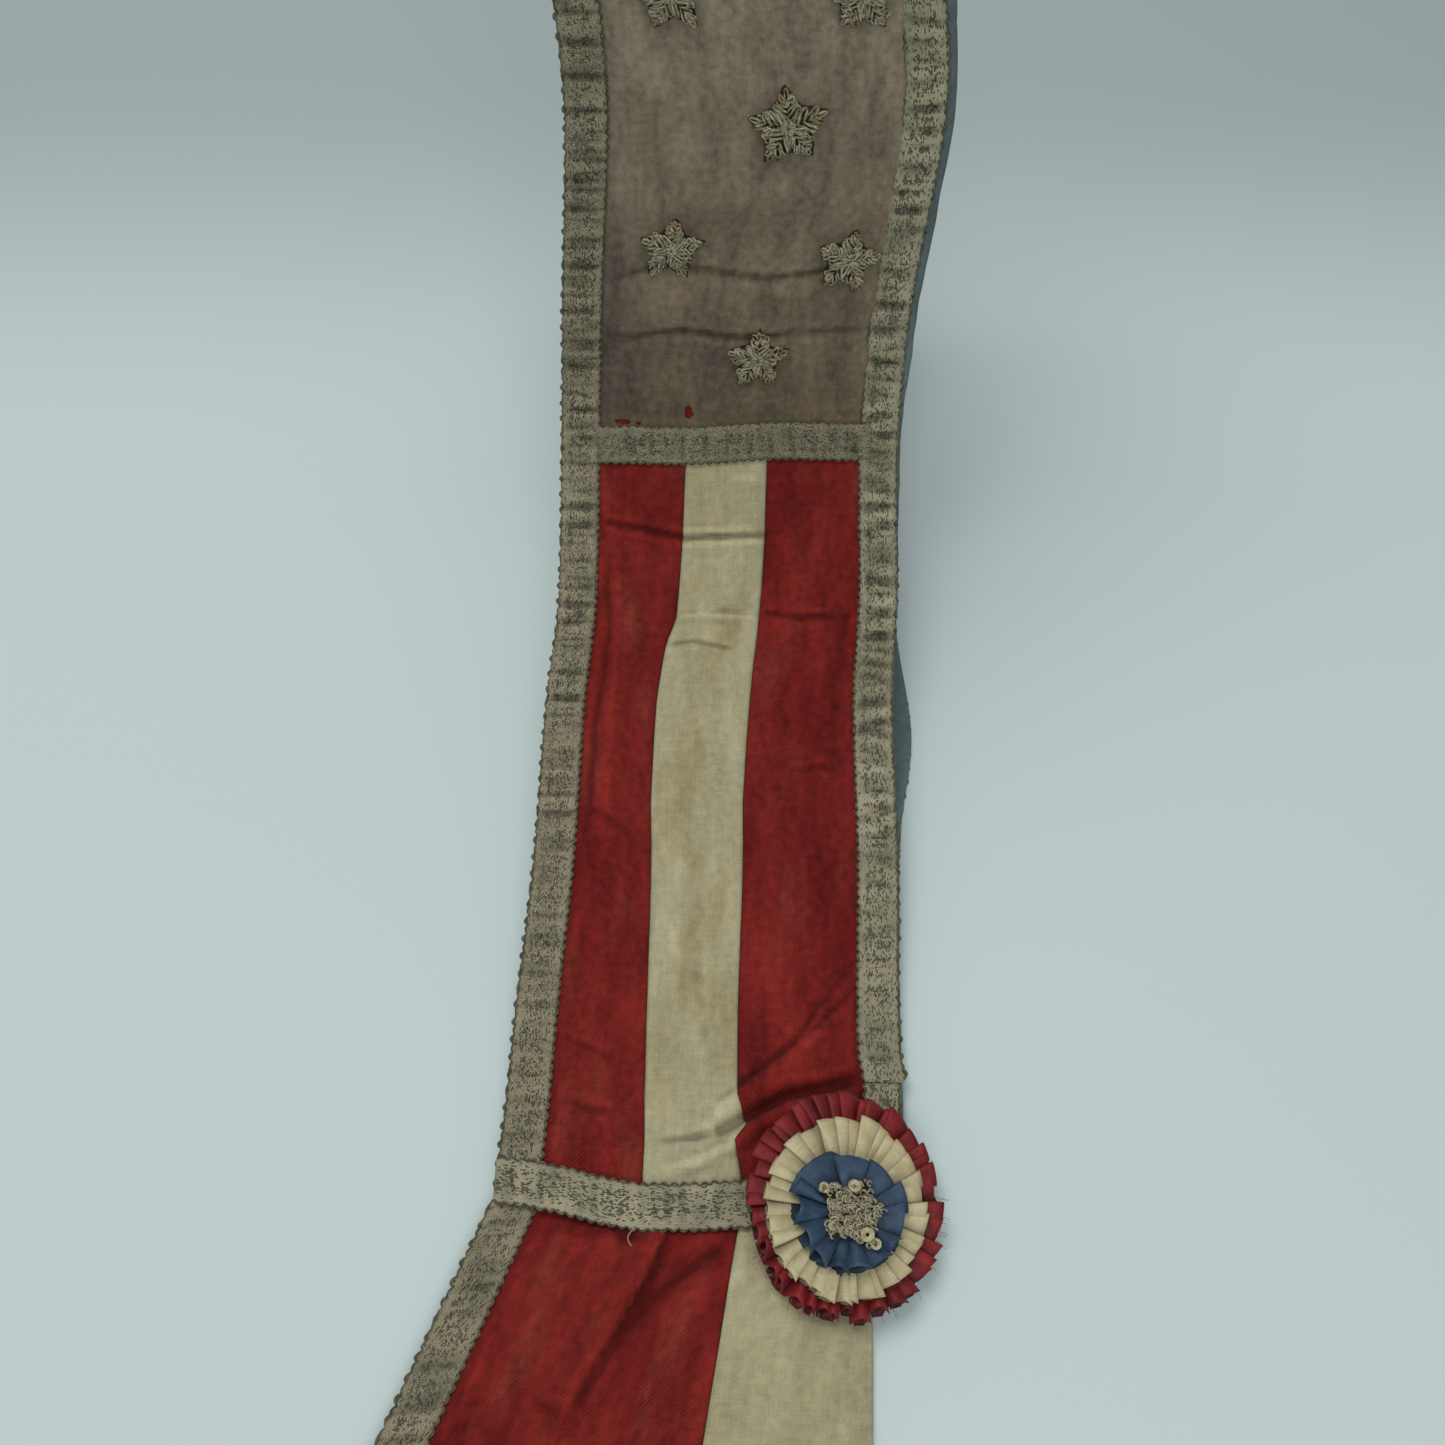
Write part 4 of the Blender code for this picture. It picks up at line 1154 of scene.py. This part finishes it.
def add_tail():
    """One sheet for each colour and for the lining, all the way down, folded in two on the right."""
    down = steps_between(TAIL_LENGTH, TAIL_TOP, 1.25 * MM)[:, None]
    left, fold, red_end = tail_left(down), tail_fold(down), tail_red_end(down)
    stripe = red_end - left - TAIL_LACE
    cream_end = fold - (stripe - (fold - red_end))
    under_red_end = cream_end - stripe
    under_end = under_red_end - TAIL_LACE
    spacing = 1.25 * MM
    length = TAIL_LENGTH - TAIL_TOP
    seam = 0.1 * MM

    x, z = fold_columns(left + GAP, fold, under_end + GAP, UPPER_LINING, 2.5 * MM)
    width = float(np.mean(fold - left) + np.mean(fold - under_end))
    tail_sheet("lining", x, z, down, LINING, width, 0.6, 0.3 * MM)
    x, z = fold_columns(red_end + seam, fold, cream_end + seam, UPPER_FACE, spacing)
    tail_sheet("cream", x, z, down, CREAM, float(np.mean(stripe)), 1.0)
    width = float(np.mean(red_end - left))
    share = np.linspace(0.0, 1.0, round(width / spacing) + 1)
    x = left + GAP + (red_end - seam - left - GAP) * share
    tail_sheet("left_red", x, 0 * x + UPPER_FACE, down, RED, width, 1.0)
    width = float(np.mean(cream_end - under_end))
    x = cream_end - seam + (under_end + GAP - cream_end + seam) * share
    tail_sheet("right_red", x, 0 * x + UNDER_FACE, down, RED, width, 0.0)

    def upper_place(run, offset, height):
        rise = TAIL_LENGTH - run / TAIL_SLANT
        x = tail_left(rise) + TAIL_LACE / 2 + offset * TAIL_SLANT
        return joined(x, -rise, UPPER_LACE + height) + HIP_SEAM

    def under_place(run, offset, height):
        rise = TAIL_LENGTH - run / TAIL_SLANT
        end = np.interp(rise, down[::-1, 0], under_end[::-1, 0])
        x = end + TAIL_LACE / 2 - offset * TAIL_SLANT
        return joined(x, -rise, 0.08 * MM - height) + HIP_SEAM

    for side, place, seed in (("left", upper_place, 84), ("right", under_place, 85)):
        add_trim(f"tail_{side}_edging", None, [f"tail_head_{side}_lace", f"tail_{side}_lace"],
                 [f"tail_{side}_red_cloth"], length * TAIL_SLANT, LACE_WIDTH, place, seed,
                 0.35 * MM if side == "left" else 0.0, outer=-1, finish=DARKER_LACE)

    start, end = corner("tail_end_lace", 0, 0)[0] + 1 * MM, corner("tail_end_lace", 1, 0)[0]
    middle = TAIL_LENGTH - LACE_WIDTH / 2

    def end_place(run, offset, height):
        return joined(run, -middle - offset, UPPER_LACE - 0.1 * MM + height) + HIP_SEAM

    add_trim("tail_end_edging", "tail", ["tail_end_lace"], ["tail_left_red_cloth"], end - start, LACE_WIDTH,
             end_place, 86, 0.15 * MM, start)


def add_loose_thread():
    """A curl of thread left at the hip band."""
    turn = np.linspace(0.0, 1.0, 14)
    x = -17.6 - 3.2 * np.sin(np.pi * turn) + 2.0 * turn
    y = -10.0 - 7.5 * turn
    z = 6.2 + 1.4 * np.sin(np.pi * turn * 1.2)
    path = joined(x, y, z) * MM + HIP_SEAM
    piece = Shape().tube(path, 0.16 * MM, sides=6).build("loose_thread", [PALE_THREAD])
    declare(piece, "sash", [])


# ---- rosette ----

SWIVEL = JOINTS["rosette_swivel"]
ROSETTE_PLACE = Matrix.Translation(SWIVEL["pos_m"]) @ (
    Vector((0, 0, 1)).rotation_difference(Vector(SWIVEL["axis"])).to_matrix().to_4x4()
)

# Across one knife pleat: share of its width, then height. It runs over the top, under and forward again.
PLEAT = np.array([
    (0.00, 0.46), (0.15, 0.62), (0.35, 0.76), (0.60, 0.88), (0.85, 0.97), (1.08, 1.0), (1.20, 0.98),
    (1.27, 0.86), (1.22, 0.66), (1.05, 0.42), (0.70, 0.20), (0.40, 0.10), (0.34, 0.03), (0.42, 0.0),
    (0.70, 0.08), (0.90, 0.28),
])


def to_rosette(points):
    place = np.array(ROSETTE_PLACE)
    return points @ place[:3, :3].T + place[:3, 3]


def add_ruffle(node, widths, inner, outer, low, rise, oval, centre, material, seed, puff, step,
               ragged=0.02):
    """A ring of pleated ribbon whose pleats have these widths.

    low and rise give its underside and thickness for a share of the way out. puff(angle) is how far a
    pleat's outer end arches open, and step(angle) how much further out one side of it reaches, in metres.
    """
    random = np.random.default_rng(seed)
    starts = np.concatenate([[0.0], np.cumsum(widths)]) * 2 * np.pi / np.sum(widths)
    out = np.linspace(1.0, 0.0, 10)[:, None]
    columns, cloths, shades = [], [], []
    for start, end in zip(starts, starts[1:]):
        share, height = PLEAT[:, 0], PLEAT[:, 1]
        width = end - start
        skew = random.normal() * 0.04 * out + 0.12 * width * out
        angle = start + width * share + skew
        arch = np.sin(np.pi * np.clip(share / 1.27, 0, 1)) * (height > 0.4)
        opened = puff(start) * random.uniform(0.6, 1.35)
        reach = outer * (1 + ragged * random.normal()) + step(start) * (share - 0.6) - 0.45 * opened * arch
        radius = inner + (reach - inner) * out
        z = low(out) + rise(out) * height * random.uniform(0.8, 1.2) + opened * (1.15 * arch - 0.3) * out**2
        z = np.maximum(z, 0.6 * MM)
        x = radius * np.cos(angle) * oval + centre[0]
        y = radius * np.sin(angle) + centre[1]
        columns.append(joined(x, y, z))
        cloths.append(joined(radius, share * width * outer, random.uniform(0, 0.2)))
        # Painted shade and light: each pleat darker low down under the pleat that overlaps it and toward the
        # middle, paler at its fold and outer edge.
        shade = np.clip(1.1 * (0.84 - height) + 0.25 * (0.5 - out), -0.25, 1.0)
        shades.append(shade + random.uniform(-0.12, 0.12))
    points, cloth, soil = (np.concatenate(parts, axis=1) for parts in (columns, cloths, shades))
    shape = Shape().grid(to_rosette(points), cloth, around=True, soil=soil)
    piece = shape.build(node + "_ribbon", [material], 0.22 * MM)
    width = outer - inner + 2 * MM
    flat = (width, sum(face.area for face in piece.data.polygons) / width)
    return declare(piece, "rosette", [node], flat)


def toward(angle, middle, reach):
    """1 where the angle points to middle, falling to 0 at reach, all in degrees."""
    away = abs((math.degrees(angle) - middle + 180) % 360 - 180)
    return 1 - float(smooth_step(away, 0.55 * reach, reach))


# The blue ruffle's pleats in degrees, from its right side anticlockwise, and its centre in millimetres.
BLUE_PLEATS = np.array([24, 30, 42, 46, 16, 26, 28, 26, 20, 24, 26, 20, 32])
BLUE_CENTRE = np.array((0.0, -3.8))
# The rosette's star: each arm's direction in degrees and length in millimetres.
ROSETTE_ARMS = [(0, 9.4), (58, 10.6), (138, 11.2), (226, 9.8), (304, 11.4)]


def rosette_star_reach(turn):
    """How far the rosette's star goes in a direction, in millimetres."""
    best = 6.0
    for arm, length in ROSETTE_ARMS:
        away = abs((math.degrees(turn) - arm + 180) % 360 - 180)
        best = max(best, 6.0 + (length - 6.0) * (1 - away / 34.0))
    return best


def add_rosette():
    random = np.random.default_rng(200)
    add_ruffle("rosette_red_ruffle", random.uniform(0.75, 1.25, 40), 17 * MM, 30.6 * MM,
               lambda o: (1.6 - 0.6 * o) * MM, lambda o: (2.6 + 0.2 * o) * MM, 0.885, (0.0, 0.0),
               RED_RIBBON, 201, lambda a: (0.3 + 3.2 * toward(a, 245, 75)) * MM,
               lambda a: (0.4 + 1.3 * toward(a, 312, 42)) * MM)
    add_ruffle("rosette_cream_ruffle", random.uniform(0.7, 1.3, 36), 11 * MM, 24.4 * MM,
               lambda o: (5.9 - 0.5 * o) * MM, lambda o: (1.4 + 0.4 * o) * MM, 0.92, (-0.6 * MM, -1.6 * MM),
               CREAM_RIBBON, 202, lambda a: (0.2 + 0.9 * toward(a, 215, 70)) * MM,
               lambda a: (0.3 + 0.5 * toward(a, 300, 60)) * MM)
    add_ruffle("rosette_blue_ruffle", BLUE_PLEATS, 5 * MM, 15.9 * MM, lambda o: (7.8 - 0.4 * o) * MM,
               lambda o: (2.1 + 2.0 * o) * MM, 1.0, BLUE_CENTRE * MM, BLUE_RIBBON, 203,
               lambda a: (0.5 + 2.6 * toward(a, 225, 135)) * MM, lambda a: 0.3 * MM, 0.05)
    frame["nodes"]["rosette_backing"].data.materials.clear()
    frame["nodes"]["rosette_backing"].data.materials.append(CANVAS)
    random = np.random.default_rng(210)
    shape = Shape()
    bottom = 11.3
    turns = np.radians(np.arange(0, 360, 6))
    rings = [(0.92, -0.2), (0.88, 0.4), (0.75, 0.9), (0.45, 1.1), (0.05, 1.2)]
    pad = np.array([[(*(BLUE_CENTRE + share * rosette_star_reach(turn) * turned(turn)), bottom + high)
                     for turn in turns] for share, high in rings]) * MM
    shape.grid(to_rosette(pad), pad, 1, around=True)
    for knot in range(240):
        turn = random.uniform(0, 2 * math.pi)
        reach = math.sqrt(random.uniform(0, 1))
        centre = (*(BLUE_CENTRE + 0.95 * reach * rosette_star_reach(turn) * turned(turn)),
                  bottom + 1.3 + 1.1 * (1 - reach) * random.random())
        turns = np.linspace(0, random.uniform(3.6, 6.0), 9)
        size = random.uniform(0.6, 1.0)
        ring = joined(np.cos(turns), np.sin(turns), 0.12 * turns) * size
        lean = Matrix.Rotation(random.uniform(-0.9, 0.9), 3, "X")
        lean = lean @ Matrix.Rotation(random.uniform(-0.9, 0.9), 3, "Y")
        path = (ring @ np.array(lean).T + centre) * MM
        shape.tube(to_rosette(path), 0.33 * MM, sides=6, seed=0.02 * knot)
    spangles = [(0.8, 6.4, 1.9, 2.5), (3.8, -6.2, 2.0, 2.5), (-7.4, 6.0, 1.6, 1.3), (6.2, -8.4, 1.6, 1.3),
                (-5.2, -4.0, 1.6, 1.4)]
    for x, y, outer, high in spangles:
        lean = random.uniform(-0.3, 0.3, 2)
        centre = (*((BLUE_CENTRE + (x, y)) * MM), (bottom + high) * MM)
        add_spangle(shape, centre, outer * MM, lean, 2, to_rosette)
    star = shape.build("rosette_star_bullion", [BULLION, SHADED_PADDING, SPANGLE])
    declare(star, "rosette", ["rosette_star"])
    add_frayed_silk(random)


def add_frayed_silk(random):
    """Fine threads worked loose from the red ruffle's edge."""
    shape = Shape()
    for middle, spread, count in ((352, 16, 9), (215, 20, 6), (245, 14, 3), (300, 30, 5)):
        for _ in range(count):
            turn = math.radians(middle + random.uniform(-spread, spread))
            start = np.array((0.885 * 30 * math.cos(turn), 30 * math.sin(turn), random.uniform(1.5, 4.0)))
            curl, share = random.uniform(-1.6, 1.6), np.linspace(0, 1, 8)
            out = np.array((math.cos(turn), math.sin(turn)))
            side = np.array((-out[1], out[0]))
            length = random.uniform(1.5, 4.0)
            path = np.concatenate([start[:2] + np.outer(length * share, out)
                                   + np.outer(curl * np.sin(2.2 * share), side),
                                   start[2] + (0.8 * np.sin(3 * share) - 1.0 * share)[:, None]], axis=1)
            shape.tube(to_rosette(path * MM), 0.07 * MM, sides=4)
    piece = shape.build("rosette_frayed_silk", [PINK_THREAD])
    declare(piece, "rosette", [])


# ---- stage ----


# The floor darkens between these distances toward the back: painted shade for a backdrop turning up away from
# the light.
FLOOR_SHADE = (0.16, 0.42)


def add_floor():
    mesh = bpy.data.meshes.new("floor")
    reach = 4.0
    corners = [(-reach, -reach, 0), (reach, -reach, 0), (reach, reach, 0), (-reach, reach, 0)]
    mesh.from_pydata(corners, [], [(0, 1, 2, 3)])
    floor = bpy.data.objects.new("floor", mesh)
    bpy.context.scene.collection.objects.link(floor)
    shader = Shader("floor_paper", roughness=0.85)
    place = shader.add("TexCoord").outputs["Object"]
    split = shader.add("SeparateXYZ", {0: place}).outputs
    # Painted shade toward the back.
    far = shader.between(split[1], *FLOOR_SHADE)
    mesh.materials.append(shader.finish(shader.mixed(far, colour(196, 211, 210), colour(164, 178, 178))))


def add_light(name, place, target, size, watts, tint):
    light = bpy.data.lights.new(name, "AREA")
    light.size, light.energy, light.color = size, watts, tint
    lamp = bpy.data.objects.new(name, light)
    lamp.location = place
    lamp.rotation_euler = (Vector(target) - Vector(place)).to_track_quat("-Z", "Y").to_euler()
    bpy.context.scene.collection.objects.link(lamp)


def add_studio():
    add_floor()
    add_light("key", (-0.27, 0.36, 1.5), (0.0, 0.0, 0.0), 0.8, 11.6, (1.0, 0.99, 0.96))
    add_light("front", (0.10, -1.1, 1.1), (0.0, 0.0, 0.1), 0.8, 7.8, (0.97, 0.99, 1.0))
    world = bpy.data.worlds.new("studio")
    bpy.context.scene.world = world
    world.use_nodes = True
    world.node_tree.nodes["Background"].inputs["Color"].default_value = (0.94, 0.97, 1.0, 1.0)
    world.node_tree.nodes["Background"].inputs["Strength"].default_value = 0.36
    bpy.context.scene.view_settings.view_transform = "Standard"


def add_camera():
    """The camera looks down at 57 degrees from just above the tail."""
    lens = bpy.data.cameras.new("camera")
    lens.sensor_width, lens.lens = 36.0, 36.0
    camera = bpy.data.objects.new("camera", lens)
    camera.location = (HIP_SEAM[0] + 0.0065, HIP_SEAM[1] - 0.112, 0.423)
    camera.rotation_euler = (math.radians(33.0), 0.0, 0.0)
    bpy.context.scene.collection.objects.link(camera)
    bpy.context.scene.camera = camera


add_camera()
add_lining()
for half in ("front", "back"):
    add_half_cloth(half)
add_red_turning()
add_edge_laces()
add_cross_bands()
add_stars()
add_hip_band()
add_tail()
add_loose_thread()
add_rosette()
add_studio()
